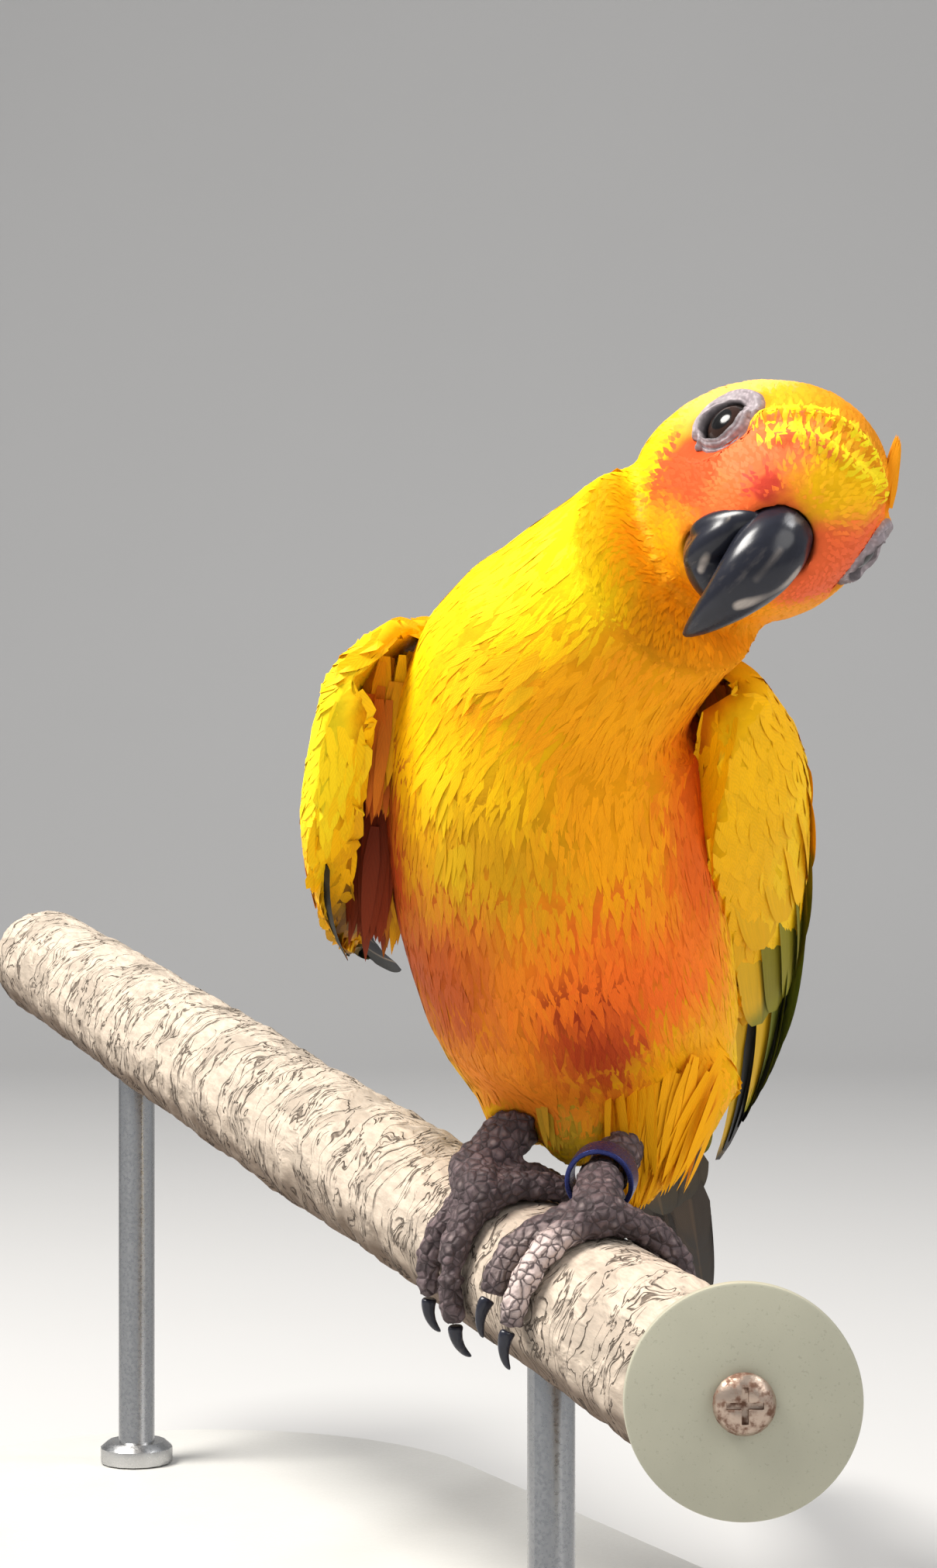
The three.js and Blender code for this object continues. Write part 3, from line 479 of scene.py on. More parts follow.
class Nodes:
    """Short calls for building one node tree."""

    def __init__(self, tree):
        self.tree = tree
        tree.nodes.clear()

    def add(self, kind, **settings):
        node = self.tree.nodes.new("ShaderNode" + kind)
        for key, value in settings.items():
            setattr(node, key, value)
        return node

    def link(self, source, target):
        self.tree.links.new(source, target)

    def feed(self, target, value):
        if isinstance(value, bpy.types.NodeSocket):
            self.link(value, target)
        elif hasattr(target.default_value, "__len__"):
            wanted = len(target.default_value)
            value = (value,) * wanted if isinstance(value, (int, float)) else tuple(value)
            target.default_value = value + (1.0,) * (wanted - len(value))
        else:
            target.default_value = value

    def math(self, operation, a, b=0.0, clamp=False):
        node = self.add("Math", operation=operation, use_clamp=clamp)
        self.feed(node.inputs[0], a)
        self.feed(node.inputs[1], b)
        return node.outputs[0]

    def vector(self, operation, a, b=(0, 0, 0)):
        node = self.add("VectorMath", operation=operation)
        self.feed(node.inputs[0], a)
        self.feed(node.inputs["Scale" if operation == "SCALE" else 1], b)
        return node.outputs["Value" if operation in ("LENGTH", "DOT_PRODUCT") else "Vector"]

    def mix(self, share, a, b):
        node = self.add("Mix", data_type="RGBA")
        self.feed(node.inputs[0], share)
        self.feed(node.inputs[6], a)
        self.feed(node.inputs[7], b)
        return node.outputs[2]

    def between(self, value, low, high, start=0.0, end=1.0, smooth=True):
        node = self.add("MapRange", interpolation_type="SMOOTHSTEP" if smooth else "LINEAR")
        for socket, item in zip(node.inputs[:5], (value, low, high, start, end)):
            self.feed(socket, item)
        return node.outputs[0]

    def noise(self, place, scale, detail=3.0, roughness=0.55, distortion=0.0):
        node = self.add("TexNoise")
        self.feed(node.inputs["Vector"], place)
        for key, value in (("Scale", scale), ("Detail", detail), ("Roughness", roughness),
                           ("Distortion", distortion)):
            self.feed(node.inputs[key], value)
        return node.outputs["Fac"]

    def wandered(self, place, scale, detail, amount):
        """A place pushed about by soft noise."""
        drift = self.add("TexNoise")
        for key, value in (("Vector", place), ("Scale", scale), ("Detail", detail)):
            self.feed(drift.inputs[key], value)
        shift = self.vector("SUBTRACT", drift.outputs["Color"], (0.5, 0.5, 0.5))
        return self.vector("ADD", place, self.vector("SCALE", shift, amount))

    def cells(self, place, scale, feature="F1"):
        node = self.add("TexVoronoi", feature=feature)
        self.feed(node.inputs["Vector"], place)
        self.feed(node.inputs["Scale"], scale)
        return node.outputs["Distance"]

    def split(self, vector):
        node = self.add("SeparateXYZ")
        self.link(vector, node.inputs[0])
        return node.outputs

    def joined(self, *values):
        node = self.add("CombineXYZ")
        for socket, value in zip(node.inputs, values):
            self.link(value, socket)
        return node.outputs[0]

    def bump(self, height, strength, distance, over=None):
        node = self.add("Bump")
        if over is not None:
            self.link(over, node.inputs["Normal"])
        self.feed(node.inputs["Strength"], strength)
        self.feed(node.inputs["Distance"], distance)
        self.link(height, node.inputs["Height"])
        return node.outputs["Normal"]

    def coat_normal(self, share):
        """The coat's smooth face, carried on each feather, mixed with the feather's own."""
        own = self.add("NewGeometry").outputs["True Normal"]
        smooth = self.attribute("coat_normal", "Vector")
        turned = self.math("SIGN", self.vector("DOT_PRODUCT", own, smooth))
        smooth = self.vector("SCALE", smooth, self.math("MULTIPLY", turned, share))
        return self.vector("NORMALIZE", self.vector("ADD", smooth, self.vector("SCALE", own, 1 - share)))

    def near_line(self, place, start, end, reach, soft):
        """How near a place is to a line between two points in millimetres, from 0 to 1."""
        start, end = np.array(start) * MM, np.array(end) * MM
        run = end - start
        offset = self.vector("SUBTRACT", place, tuple(start))
        share = self.vector("DOT_PRODUCT", offset, tuple(run))
        share = self.math("MULTIPLY", share, 1 / float(run @ run), clamp=True)
        gap = self.vector("LENGTH", self.vector("SUBTRACT", offset, self.vector("SCALE", tuple(run), share)))
        return self.between(gap, (reach + soft) * MM, (reach - soft) * MM)

    def attribute(self, name, output="Fac"):
        return self.add("Attribute", attribute_name=name).outputs[output]

    def shared(self, group, **values):
        node = self.add("Group")
        node.node_tree = group
        for key, value in values.items():
            self.feed(node.inputs[key], value)
        return node.outputs


def srgb(r, g, b):
    """Linear colour of a screen colour given as 0 to 255."""
    return tuple(((c / 255 + 0.055) / 1.055) ** 2.4 if c > 10 else c / 255 / 12.92 for c in (r, g, b))


def node_group(name, inputs, outputs):
    """An empty node group with named sockets, given as (name, kind, default)."""
    tree = bpy.data.node_groups.new(name, "ShaderNodeTree")
    for item, kind, default in inputs:
        socket = tree.interface.new_socket(item, in_out="INPUT", socket_type="NodeSocket" + kind)
        if default is not None:
            socket.default_value = default
    for item, kind in outputs:
        tree.interface.new_socket(item, in_out="OUTPUT", socket_type="NodeSocket" + kind)
    nodes = Nodes(tree)
    group_in = tree.nodes.new("NodeGroupInput")
    group_out = tree.nodes.new("NodeGroupOutput")
    return tree, nodes, group_in.outputs, group_out.inputs


def new_material(name, **shader):
    """A material with its Principled shader; constants are set on the shader's own sockets."""
    material = bpy.data.materials.new(name)
    material.use_nodes = True
    nodes = Nodes(material.node_tree)
    principled = nodes.add("BsdfPrincipled")
    output = nodes.add("OutputMaterial")
    nodes.link(principled.outputs[0], output.inputs[0])
    for key, value in shader.items():
        nodes.feed(principled.inputs[key.replace("_", " ").title().replace("Ior", "IOR")], value)
    return material, nodes, principled.inputs


# Markings of the plumage, painted one over the other, some of them painted shade or painted highlight:
# place in millimetres, reach in each direction, softness of the edge from 0 to 1, and colour

BODY_YELLOW = srgb(255, 205, 2)
WING_YELLOW = srgb(250, 187, 0)


def plumage_marks():
    return (
        ((16, -42, 136), (30, 24, 28), 0.9, srgb(250, 162, 6)),
        ((1, -38, 145), (11, 14, 8), 0.9, srgb(255, 196, 4)),
        ((0, -40, 130), (14, 16, 12), 0.8, srgb(216, 156, 4)),
        ((34, -28, 132), (7, 16, 28), 1.0, srgb(232, 100, 16)),
        ((12, -28, 112), (36, 30, 14), 1.1, srgb(244, 138, 22)),
        ((24, -28, 113), (14, 24, 12), 1.3, srgb(250, 110, 30)),
        ((-6, -24, 114), (9, 24, 14), 1.3, srgb(192, 84, 22)),
        ((17, -22, 104), (8, 16, 8), 1.3, srgb(178, 62, 24)),
        ((6, -8, 98), (16, 14, 8), 1.1, srgb(238, 132, 32)),
        ((33, -10, 100), (9, 18, 12), 1.0, srgb(255, 176, 12)),
        ((28, -6, 88), (10, 12, 12), 0.6, srgb(252, 176, 8)),
        ((14.5, -4, 91), (5.5, 8, 7), 0.5, srgb(190, 150, 34)),
        # Painted shade: these two darken the flank to red-brown where the right wing shades it
        ((-14, -18, 130), (6, 18, 24), 1.0, srgb(196, 74, 26)),
        ((-15, -3, 130), (5, 14, 20), 0.8, srgb(128, 50, 22)),
        (on_head(-1, 0, 1), (20, 19, 20), 0.5, srgb(250, 164, 20)),
        (on_head(6, 0, -8), (17, 17, 12), 0.5, srgb(250, 108, 50)),
        (on_head(2, -14, -8), (12, 8, 8), 0.7, srgb(226, 84, 38)),
        (on_head(10, -8, 1), (7, 6, 6), 0.7, srgb(250, 114, 64)),
        # Painted highlight: the sunlit pale edge of the nape behind the right eye
        (on_head(-9, -15, 5), (9, 7, 8), 0.8, srgb(255, 186, 92)),
        (on_head(13, 2, 4), (7, 8, 5), 0.7, srgb(252, 190, 4)),
        (on_head(11, 9, -5), (9, 7, 9), 0.7, srgb(240, 104, 56)),
        (on_head(-3, 2, 15), (12, 16, 7.5), 0.8, srgb(234, 146, 14)),
        (on_head(14.3, -5.5, -3), (2, 3.4, 1.8), 1.0, srgb(206, 66, 46)),
        ((30, -40, 164), (15, 14, 9.5), 0.5, srgb(250, 158, 8)),
        ((24, -44, 172), (6, 10, 7), 0.9, srgb(254, 176, 12)),
        ((44, -36, 160), (12, 12, 7), 0.7, srgb(252, 160, 12)),
        ((15, -44, 172), (8, 12, 10), 0.9, srgb(255, 214, 4)),
    )


def wing_marks():
    return (
        ((-21, -24, 150), (6, 14, 15), 0.6, srgb(255, 224, 30)),
        # Painted shade: the inner side of the right wing darkened to red-brown beside the flank
        ((-13, 4, 136), (4.5, 24, 16), 0.9, srgb(176, 74, 30)),
        ((-18, -2, 124), (4, 14, 6), 0.8, srgb(128, 96, 38)),
        ((-16, 30, 118), (9, 20, 14), 0.6, srgb(92, 76, 34)),
        ((49, -2, 132), (5, 26, 22), 0.8, srgb(255, 204, 20)),
        ((45.4, 1.5, 130.5), (1.8, 6, 4), 0.5, srgb(62, 82, 30)),
    )


def colour_patch_group(name, base, marks):
    tree, nodes, inputs, outputs = node_group(name, (("Place", "Vector", None),), (("Color", "Color"),))
    place = nodes.wandered(inputs["Place"], 150.0, 3.0, 0.008)
    colour = base
    for at, reach, soft, mark in marks:
        offset = nodes.vector("SUBTRACT", place, tuple(a * MM for a in at))
        scaled = nodes.vector("MULTIPLY", offset, tuple(1 / (r * MM) for r in reach))
        distance = nodes.vector("LENGTH", scaled)
        share = nodes.between(distance, 1 + soft / 2, 1 - soft / 2)
        colour = nodes.mix(share, colour, mark)
    nodes.link(colour, outputs["Color"])
    return tree


def barb_group():
    """Fine barbs slanting off a shaft, from a map with the web across and the length along."""
    tree, nodes, inputs, outputs = node_group(
        "feather_barbs", (("Web", "Vector", None), ("Count", "Float", 60.0)),
        (("Line", "Float"), ("Shaft", "Float")))
    web = nodes.split(inputs["Web"])
    across = nodes.math("ABSOLUTE", nodes.math("SUBTRACT", web[0], 0.5))
    slant = nodes.math("SUBTRACT", web[1], nodes.math("MULTIPLY", across, 0.5))
    ragged = nodes.math("MULTIPLY", nodes.noise(inputs["Web"], 9.0), 0.04)
    wave = nodes.math("SINE", nodes.math("MULTIPLY", nodes.math("ADD", slant, ragged), inputs["Count"]))
    nodes.link(nodes.math("ADD", nodes.math("MULTIPLY", wave, 0.5), 0.5), outputs["Line"])
    nodes.link(nodes.between(across, 0.07, 0.02), outputs["Shaft"])
    return tree


def mottle_group():
    """Soft uneven tone over a surface."""
    tree, nodes, inputs, outputs = node_group(
        "uneven_tone", (("Place", "Vector", None), ("Scale", "Float", 100.0), ("Amount", "Float", 0.2)),
        (("Tone", "Float"),))
    fine = nodes.noise(inputs["Place"], inputs["Scale"], 4.0)
    centred = nodes.math("MULTIPLY", nodes.math("SUBTRACT", fine, 0.5), inputs["Amount"])
    nodes.link(nodes.math("ADD", 1.0, nodes.math("MULTIPLY", centred, 2.0)), outputs["Tone"])
    return tree


SHARED = {}


def shared_group(name):
    makers = {
        "plumage_colour_and_painted_light": lambda: colour_patch_group("plumage_colour_and_painted_light", BODY_YELLOW, plumage_marks()),
        "wing_colour_and_painted_shade": lambda: colour_patch_group("wing_colour_and_painted_shade", WING_YELLOW, wing_marks()),
        "feather_barbs": barb_group,
        "uneven_tone": mottle_group,
    }
    if name not in SHARED:
        SHARED[name] = makers[name]()
    return SHARED[name]


def object_place(nodes):
    return nodes.add("TexCoord").outputs["Object"]


def toned(nodes, colour, tone):
    return nodes.vector("SCALE", colour, tone)


def uneven(nodes, place, scale, amount):
    return nodes.shared(shared_group("uneven_tone"), Place=place, Scale=scale, Amount=amount)["Tone"]


def skin_material(name, markings):
    material, nodes, shader = new_material(name, roughness=0.85, specular_ior_level=0.15)
    place = object_place(nodes)
    colour = nodes.shared(shared_group(markings), Place=place)["Color"]
    tone = uneven(nodes, place, 500.0, 0.2)
    nodes.link(toned(nodes, toned(nodes, colour, 0.85), tone), shader["Base Color"])
    nodes.link(nodes.bump(nodes.noise(place, 1400.0), 0.4, 0.0002), shader["Normal"])
    return material


def coat_material(name, markings, smooth):
    material, nodes, shader = new_material(name, roughness=0.62, specular_ior_level=0.14)
    web = nodes.add("UVMap", uv_map="web").outputs[0]
    colour = nodes.shared(shared_group(markings), Place=nodes.attribute("root_place", "Vector"))["Color"]
    # Painted highlight: pale yellow on the sunlit raised rows over the forehead and on ruffled feathers
    colour = nodes.mix(nodes.attribute("painted_highlight"), colour, srgb(255, 232, 30))
    # Painted shade: each feather a little darker towards its root, where the feathers above shade it
    depth = nodes.between(nodes.split(web)[1], 0.0, 0.7, 0.96, 1.01)
    tone = nodes.math("ADD", 1.0, nodes.math("MULTIPLY", nodes.attribute("feather_tone"), 0.06))
    barbs = nodes.shared(shared_group("feather_barbs"), Web=web, Count=55.0)
    lines = nodes.between(barbs["Line"], 0.0, 1.0, 0.95, 1.02)
    colour = toned(nodes, colour, nodes.math("MULTIPLY", nodes.math("MULTIPLY", depth, tone), lines))
    nodes.link(colour, shader["Base Color"])
    nodes.link(nodes.bump(barbs["Line"], 0.2, 0.00006, nodes.coat_normal(smooth)), shader["Normal"])
    return material


def vane_material(name):
    """Long feathers: outer web, inner web and tip colours come with each vane."""
    material, nodes, shader = new_material(name, roughness=0.6, specular_ior_level=0.12)
    web = nodes.add("UVMap", uv_map="web").outputs[0]
    aside, along = nodes.split(web)[:2]
    inner_side = nodes.between(aside, 0.46, 0.56)
    outer, inner = nodes.attribute("outer_web", "Color"), nodes.attribute("inner_web", "Color")
    colour = nodes.mix(inner_side, outer, inner)
    along = nodes.math("ADD", along, nodes.math("MULTIPLY", nodes.noise(web, 6.0), 0.1))
    colour = nodes.mix(nodes.between(along, 0.78, 1.02), colour, nodes.attribute("tip_colour", "Color"))
    streaks = nodes.vector("MULTIPLY", web, (14.0, 1.6, 1.0))
    tone = uneven(nodes, streaks, 1.4, 0.2)
    barbs = nodes.shared(shared_group("feather_barbs"), Web=web, Count=420.0)
    lines = nodes.between(barbs["Line"], 0.0, 1.0, 0.9, 1.04)
    colour = toned(nodes, colour, nodes.math("MULTIPLY", tone, lines))
    shaft = nodes.math("MULTIPLY", barbs["Shaft"], 0.5)
    colour = nodes.mix(shaft, colour, nodes.attribute("shaft_colour", "Color"))
    nodes.link(colour, shader["Base Color"])
    nodes.link(nodes.bump(barbs["Line"], 0.3, 0.00008, nodes.coat_normal(0.7)), shader["Normal"])
    return material


# Skin

def triangles_of(obj):
    obj.data.calc_loop_triangles()
    triangles = obj.data.loop_triangles
    corners = np.empty(len(triangles) * 3, np.int32)
    triangles.foreach_get("vertices", corners)
    return corners.reshape(-1, 3)


def tree_of(obj):
    """A search tree over a piece's surface, in metres."""
    return BVHTree.FromPolygons([tuple(point) for point in points_of(obj)], triangles_of(obj).tolist())


def nearest_on(tree, points_mm, reach=0.05):
    """Nearest surface places and outward normals, in millimetres."""
    places = np.empty_like(points_mm)
    normals = np.empty_like(points_mm)
    for i, point in enumerate(points_mm * MM):
        hit, normal, _, _ = tree.find_nearest(point, reach)
        if hit is None:
            hit, normal = Vector(point), Vector((0, 0, 1))
        places[i] = hit
        normals[i] = normal
    return places / MM, normals


# The skin and its search tree, kept for the pieces that are made on it
SCENE_STATE = {}


class CONURE_OT_skin(bpy.types.Operator):
    """One skin over torso, neck, head and thighs, a coat's depth inside the solids"""
    bl_idname = "conure.skin"
    bl_label = "Skin"

    def execute(self, context):
        nodes = ("torso", "neck", "head", "thigh_right", "thigh_left")
        skin = fine_copy("skin", nodes, 0.0009, 8, grow=0.0003)
        points, normals = points_of(skin), normals_of(skin)
        places = points / MM
        head, _ = closeness(places)
        ridge_height = 1.1 * MM
        raised = ridge_height * ridge_nearness(places, 0.0, 0.3, 1.9)
        raised = raised - ridge_height * eye_nearness(places, 5, 6.8)
        set_points(skin, points + normals * (raised - plumage().depth * (1 - 0.5 * head))[:, None])
        finish_piece(skin, skin_material("downy_skin", "plumage_colour_and_painted_light"), nodes)
        SCENE_STATE["skin"] = skin
        SCENE_STATE["skin_tree"] = tree_of(skin)
        return {"FINISHED"}


# Small feathers

SPINE_AT = resampled(SPINE, 120)
SPINE_ALONG = unit(np.gradient(SPINE_AT, axis=0))


def spine_step(points):
    """The nearest step of the body's middle line for each place, worked out in batches."""
    batches = np.array_split(points, len(points) // 4000 + 1)
    return np.concatenate([
        np.linalg.norm(batch[:, None] - SPINE_AT[None], axis=-1).argmin(1) for batch in batches])


def body_lie(points, normals):
    """Direction in which the feathers lie at each place: away from the bill, then towards the tail."""
    best = spine_step(points)
    lie = -SPINE_ALONG[best]
    from_bill = unit(points - BILL_ROOT)
    away = smooth_share(np.linalg.norm(points - on_head(-4, HEAD_OFFSET, -3), axis=1), 15, 27)[:, None]
    lie = from_bill * (1 - away) + lie * away
    for eye in EYES:
        lie = lie + unit(points - eye) * nearness(points, eye, 4.5, 8)[:, None] * 1.2
    for start, end in THIGH_LINES:
        start, run = np.array(start), np.array(end) - start
        share = np.clip(((points - start) @ run) / (run @ run), 0, 1.1)
        near = nearness(points - share[:, None] * run, start, 8, 15) * smooth_share(share, 0.2, 0.7)
        lie = lie + unit(run) * near[:, None] * 2
    return square_to(lie, normals)


def scatter(obj, spacing_at, seed):
    """Places spread evenly over a mesh, nearer together where spacing_at says so, in millimetres."""
    a, b, c = (points_of(obj)[column] / MM for column in triangles_of(obj).T)
    cross = np.cross(b - a, c - a)
    area = np.linalg.norm(cross, axis=1) / 2
    spacing = spacing_at((a + b + c) / 3, unit(cross))
    wanted = np.where(spacing > 0, area / np.maximum(spacing, 0.1) ** 2, 0) * 3.2
    rng = np.random.default_rng(seed)
    pick = rng.choice(len(area), int(wanted.sum()), p=wanted / wanted.sum())
    share = rng.random((len(pick), 2))
    beyond = share.sum(1) > 1
    share[beyond] = 1 - share[beyond]
    places = a[pick] + share[:, :1] * (b - a)[pick] + share[:, 1:] * (c - a)[pick]
    gap = spacing[pick]
    tree = kdtree.KDTree(len(places))
    for i, place in enumerate(places):
        tree.insert(place, i)
    tree.balance()
    kept = np.ones(len(places), bool)
    for i, place in enumerate(places):
        if kept[i]:
            for _, other, _ in tree.find_range(place, gap[i]):
                if other > i:
                    kept[other] = False
    return places[kept], unit(cross)[pick][kept]


def leaf_widths(rows, full=0.45):
    """Half width along a small feather, as a share of its full half width."""
    u = np.arange(rows) / rows
    return np.minimum(1, 0.5 + u / full * 0.5) * (1 - u ** 2.4) ** 0.7


def lay_feathers(roots, normals, length, lie_at, tree, lift, rows, rng):
    """Lines of feathers from their roots along the lie, kept on the surface and rising to their tips."""
    count = len(roots)
    centres = np.empty((count, rows + 1, 3))
    ups = np.empty((count, rows + 1, 3))
    place, normal = roots.copy(), normals.copy()
    swing = rng.normal(0, FEATHER_SWING, count)[:, None]
    for row in range(rows + 1):
        along = lie_at(place, normal)
        along = unit(along + np.cross(normal, along) * swing)
        share = row / rows
        centres[:, row] = place + normal * (lift * share ** 1.2 - FEATHER_SINK * (1 - share))[:, None]
        ups[:, row] = normal
        if row < rows:
            place, normal = nearest_on(tree, place + along * (length / rows)[:, None])
    turned = unit(np.gradient(centres, axis=1))
    across = unit(np.cross(turned, ups))
    return centres, across, np.cross(across, turned), ups


def feather_coat(name, roots, normals, length, width, lift, lie_at, tree, unwrap, material, seed, painted_highlight,
                 rows=4):
    """One piece of the coat: a small feather at each root, laid over the skin."""
    rng = np.random.default_rng(seed)
    count = len(roots)
    centres, across, up, faces = lay_feathers(roots, normals, length, lie_at, tree, lift, rows, rng)
    half = width[:, None] / 2 * leaf_widths(rows)[None]
    roll = rng.normal(0, 0.06, count)[:, None, None]
    across = unit(across + up * roll)
    up = square_to(up, across)
    features = {"root_place": roots * MM, "feather_tone": rng.normal(0, 0.55, count), "coat_normal": faces,
                "painted_highlight": painted_highlight}
    obj = vane_piece(name, centres, across, up, half, 0.03, COARSE_SECTION, unwrap, TUFT_PATCH, features)
    finish_piece(obj, material)


def body_unwrap(points):
    """Unwrap of the skin: its turn about the body's middle line, and the share along that line."""
    best = spine_step(points)
    out = points - SPINE_AT[best]
    along = SPINE_ALONG[best]
    side = unit(np.cross(along, np.array((0.3, 1.0, 0.2))))
    back = np.cross(side, along)
    turn = np.arctan2((out * side).sum(1), (out * back).sum(1)) / (2 * math.pi) + 0.5
    rest = ((out * along).sum(1)) / 60
    share = np.clip(best / (len(SPINE_AT) - 1) * 0.62 + np.clip(rest, 0, 0.37), 0, 0.99)
    return np.stack((turn * 0.99, share), -1)


def head_unwrap(points):
    out = points - on_head(0, HEAD_OFFSET, -3)
    turn = np.arctan2(out @ LEFT, out @ UP) / (2 * math.pi) + 0.5
    share = np.clip((out @ FORWARD + 30) / 50, 0, 0.99)
    return np.stack((turn * 0.99, share), -1)


def closeness(points):
    """How near each place is to the head, from 0 to 1, and to the bill."""
    return (nearness(points, on_head(-5, HEAD_OFFSET, -3), 17, 34),
            nearness(points, on_head(12, HEAD_OFFSET, -8), 7, 17))


def eye_nearness(points, inner, outer):
    """How near each place is to an eye, from 0 beyond the outer distance to 1 within the inner."""
    return np.maximum(*(nearness(points, eye, inner, outer) for eye in EYES))


def bare_places(points):
    """Places that carry no feathers: under the eye rings and in the bill's socket."""
    bare = np.linalg.norm(points - on_head(9, -6.5, -10), axis=1) < 3.2
    for eye in EYES:
        out = points - eye
        reach = np.sqrt((out @ FORWARD) ** 2 + (out @ UP / 1.15) ** 2 + (out @ LEFT) ** 2)
        bare |= reach < EYE_RING_REACH
    return bare


# Raised rows of feathers over the forehead, as places on the head
RIDGES = (
    ((4.2, -12.3, 2.7), (5, -10.9, 5.2), (5.6, -9.2, 7.3), (5.8, -7.2, 8.9), (6.3, -4.6, 10),
     (6.5, -1.8, 10.5), (6.6, 1.2, 10.2), (6.5, 4.3, 9), (5.8, 6.9, 7.5)),
    ((9.4, -9.5, 2.7), (9.2, -7.9, 5.1), (10.1, -5.7, 6.1), (10.5, -3.1, 6.7), (10.2, 1.3, 7.2),
     (8.4, 4.3, 7.5)),
)

# Places where the coat is ruffled, and how far round them
RUFFLES = (((-2.6, -35, 142.9), 4), ((-3.2, -35, 133), 4.5), ((10.3, -42, 157), 4.5), ((4, -41, 158), 4))


def ridge_nearness(points, towards_bill, inner, outer):
    """How near each place is to the raised rows over the forehead, or to a line nearer the bill."""
    near = np.zeros(len(points))
    for ridge, strength in zip(RIDGES, (1.0, 0.8)):
        line = np.array([on_head(*place) for place in ridge])
        line = line + unit(BILL_ROOT - line) * towards_bill
        close = np.flatnonzero(np.linalg.norm(points - line.mean(0), axis=1) < 22)
        gap = np.linalg.norm(points[close, None] - resampled(line, 60)[None], axis=-1).min(1)
        near[close] = np.maximum(near[close], strength * (1 - smooth_share(gap, inner, outer)))
    return near


def ruffle_nearness(points):
    near = np.zeros(len(points))
    for place, reach in RUFFLES:
        near = np.maximum(near, nearness(points, place, reach * 0.4, reach))
    return near


class CONURE_OT_coat(bpy.types.Operator):
    """Small feathers over the whole skin, in tufts that follow the lie of the coat"""
    bl_idname = "conure.coat"
    bl_label = "Body feathers"

    def execute(self, context):
        sizes = plumage()
        skin, tree = SCENE_STATE["skin"], SCENE_STATE["skin_tree"]
        measure = copy_of_nodes("measure", ("bill_upper", "bill_lower"))
        bill = tree_of(measure)
        bpy.data.objects.remove(measure)

        def spacing_at(points, normals):
            head, face = closeness(points)
            gap = sizes.body_spacing / MM * (1 - head) + sizes.head_spacing / MM * head
            return np.where(bare_places(points), 0, gap * (1 - 0.25 * face) * coarseness())

        roots, normals = scatter(skin, spacing_at, sizes.seed)
        reach = np.array([(bill.find_nearest(place * MM, 0.01)[3] or 0.01) for place in roots]) / MM
        keep = (reach > 0.9) & ~bare_places(roots)
        roots, normals, reach = roots[keep], normals[keep], reach[keep]
        head, face = closeness(roots)
        rng = np.random.default_rng(sizes.seed + 1)
        length = (sizes.body_length * (1 - head) + sizes.head_length * head) / MM
        length = length * (1 - face) + sizes.face_length / MM * face
        length = np.minimum(length, 0.6 + reach * 0.9) * rng.normal(1, 0.1, len(roots)).clip(0.75, 1.3)
        width = (sizes.body_width * (1 - head) + sizes.head_width * head) / MM * (1 - 0.25 * face)
        width = width * coarseness()
        patches = np.array([noise.noise(Vector(place) * 0.11) for place in roots])
        ruffle = ruffle_nearness(roots)
        lift = (0.07 + 0.02 * head) * (1 + 0.8 * patches)
        lift = lift + rng.normal(0, 0.012 + 0.25 * ruffle) + 0.4 * ruffle
        ridge = ridge_nearness(roots, 1.3, 1.7, 2.4)
        lift = lift + 0.12 * ridge
        # Painted highlight strength: full on the sunlit raised rows over the forehead, a little on ruffled
        # feathers
        painted_highlight = np.minimum(1, ridge + 0.3 * ruffle)
        material = coat_material("small_feathers", "plumage_colour_and_painted_light", 0.8)
        towards_back = (roots - SPINE_AT[spine_step(roots)]) @ (0.25, 1.0, 0.35)
        groups = np.where(head > 0.5, 0, np.where(towards_back > 0, 2, 1))
        for group, title in enumerate(("head", "front", "back")):
            index = np.flatnonzero(groups == group)
            unwrap = head_unwrap if group == 0 else body_unwrap
            for part, chunk in enumerate(np.array_split(index, math.ceil(len(index) / FEATHERS_PER_PIECE))):
                feather_coat(f"coat_{title}_{part + 1}", roots[chunk], normals[chunk], length[chunk],
                             width[chunk], lift[chunk], body_lie, tree, unwrap(roots[chunk]), material,
                             sizes.seed + 10 * group + part, painted_highlight[chunk])
        return {"FINISHED"}


# Wings

def spline(points, share):
    """A smooth line through points, at shares from 0 to 1."""
    points = np.asarray(points, float)
    last = len(points) - 1
    step = np.clip(np.asarray(share, float), 0, 1) * last
    low = np.minimum(step.astype(int), last - 1)
    f = (step - low)[..., None]
    padded = np.vstack((2 * points[0] - points[1], points, 2 * points[-1] - points[-2]))
    p0, p1, p2, p3 = (padded[low + k] for k in range(4))
    return 0.5 * (2 * p1 + (p2 - p0) * f + (2 * p0 - 5 * p1 + 4 * p2 - p3) * f ** 2
                  + (3 * p1 - p0 - 3 * p2 + p3) * f ** 3)


class WingSheet:
    """The curved sheet of a closed wing: s runs from wrist to tip, c from the leading edge over the back."""

    def __init__(self, wing):
        droop = math.radians(wing["droop"])
        self.side = wing["side"]
        self.wrist = np.array((0.0, *wing["wrist"]))
        self.line = np.array((0, math.cos(droop), -math.sin(droop)))
        raised = np.array((0, math.sin(droop), math.cos(droop)))
        self.lines = []
        for key in ("lead", "crest", "over"):
            across, lift = np.array(wing[key], float).T[:, :, None]
            along = (wing["start"] + wing["reach"] * np.arange(len(across)) / (len(across) - 1))[:, None]
            self.lines.append(self.wrist + across * (1, 0, 0) + along * self.line + lift * raised)

    def at(self, s, c):
        s, c = np.broadcast_arrays(np.asarray(s, float), np.asarray(c, float))
        a, b, d = (spline(line, s) for line in self.lines)
        handle = 2 * b - 0.5 * a - 0.5 * d
        c = c[..., None]
        return a * (1 - c) ** 2 + handle * 2 * c * (1 - c) + d * c ** 2

    def frame_at(self, s, c):
        """Along and outward directions of the sheet."""
        near, mid = np.clip(s, 0.02, 0.98), np.clip(c, 0.02, 0.98)
        along = self.at(near + 0.01, mid) - self.at(near - 0.01, mid)
        across = self.at(near, mid + 0.01) - self.at(near, mid - 0.01)
        out = unit(np.cross(along, across)) * self.side
        return unit(along), out


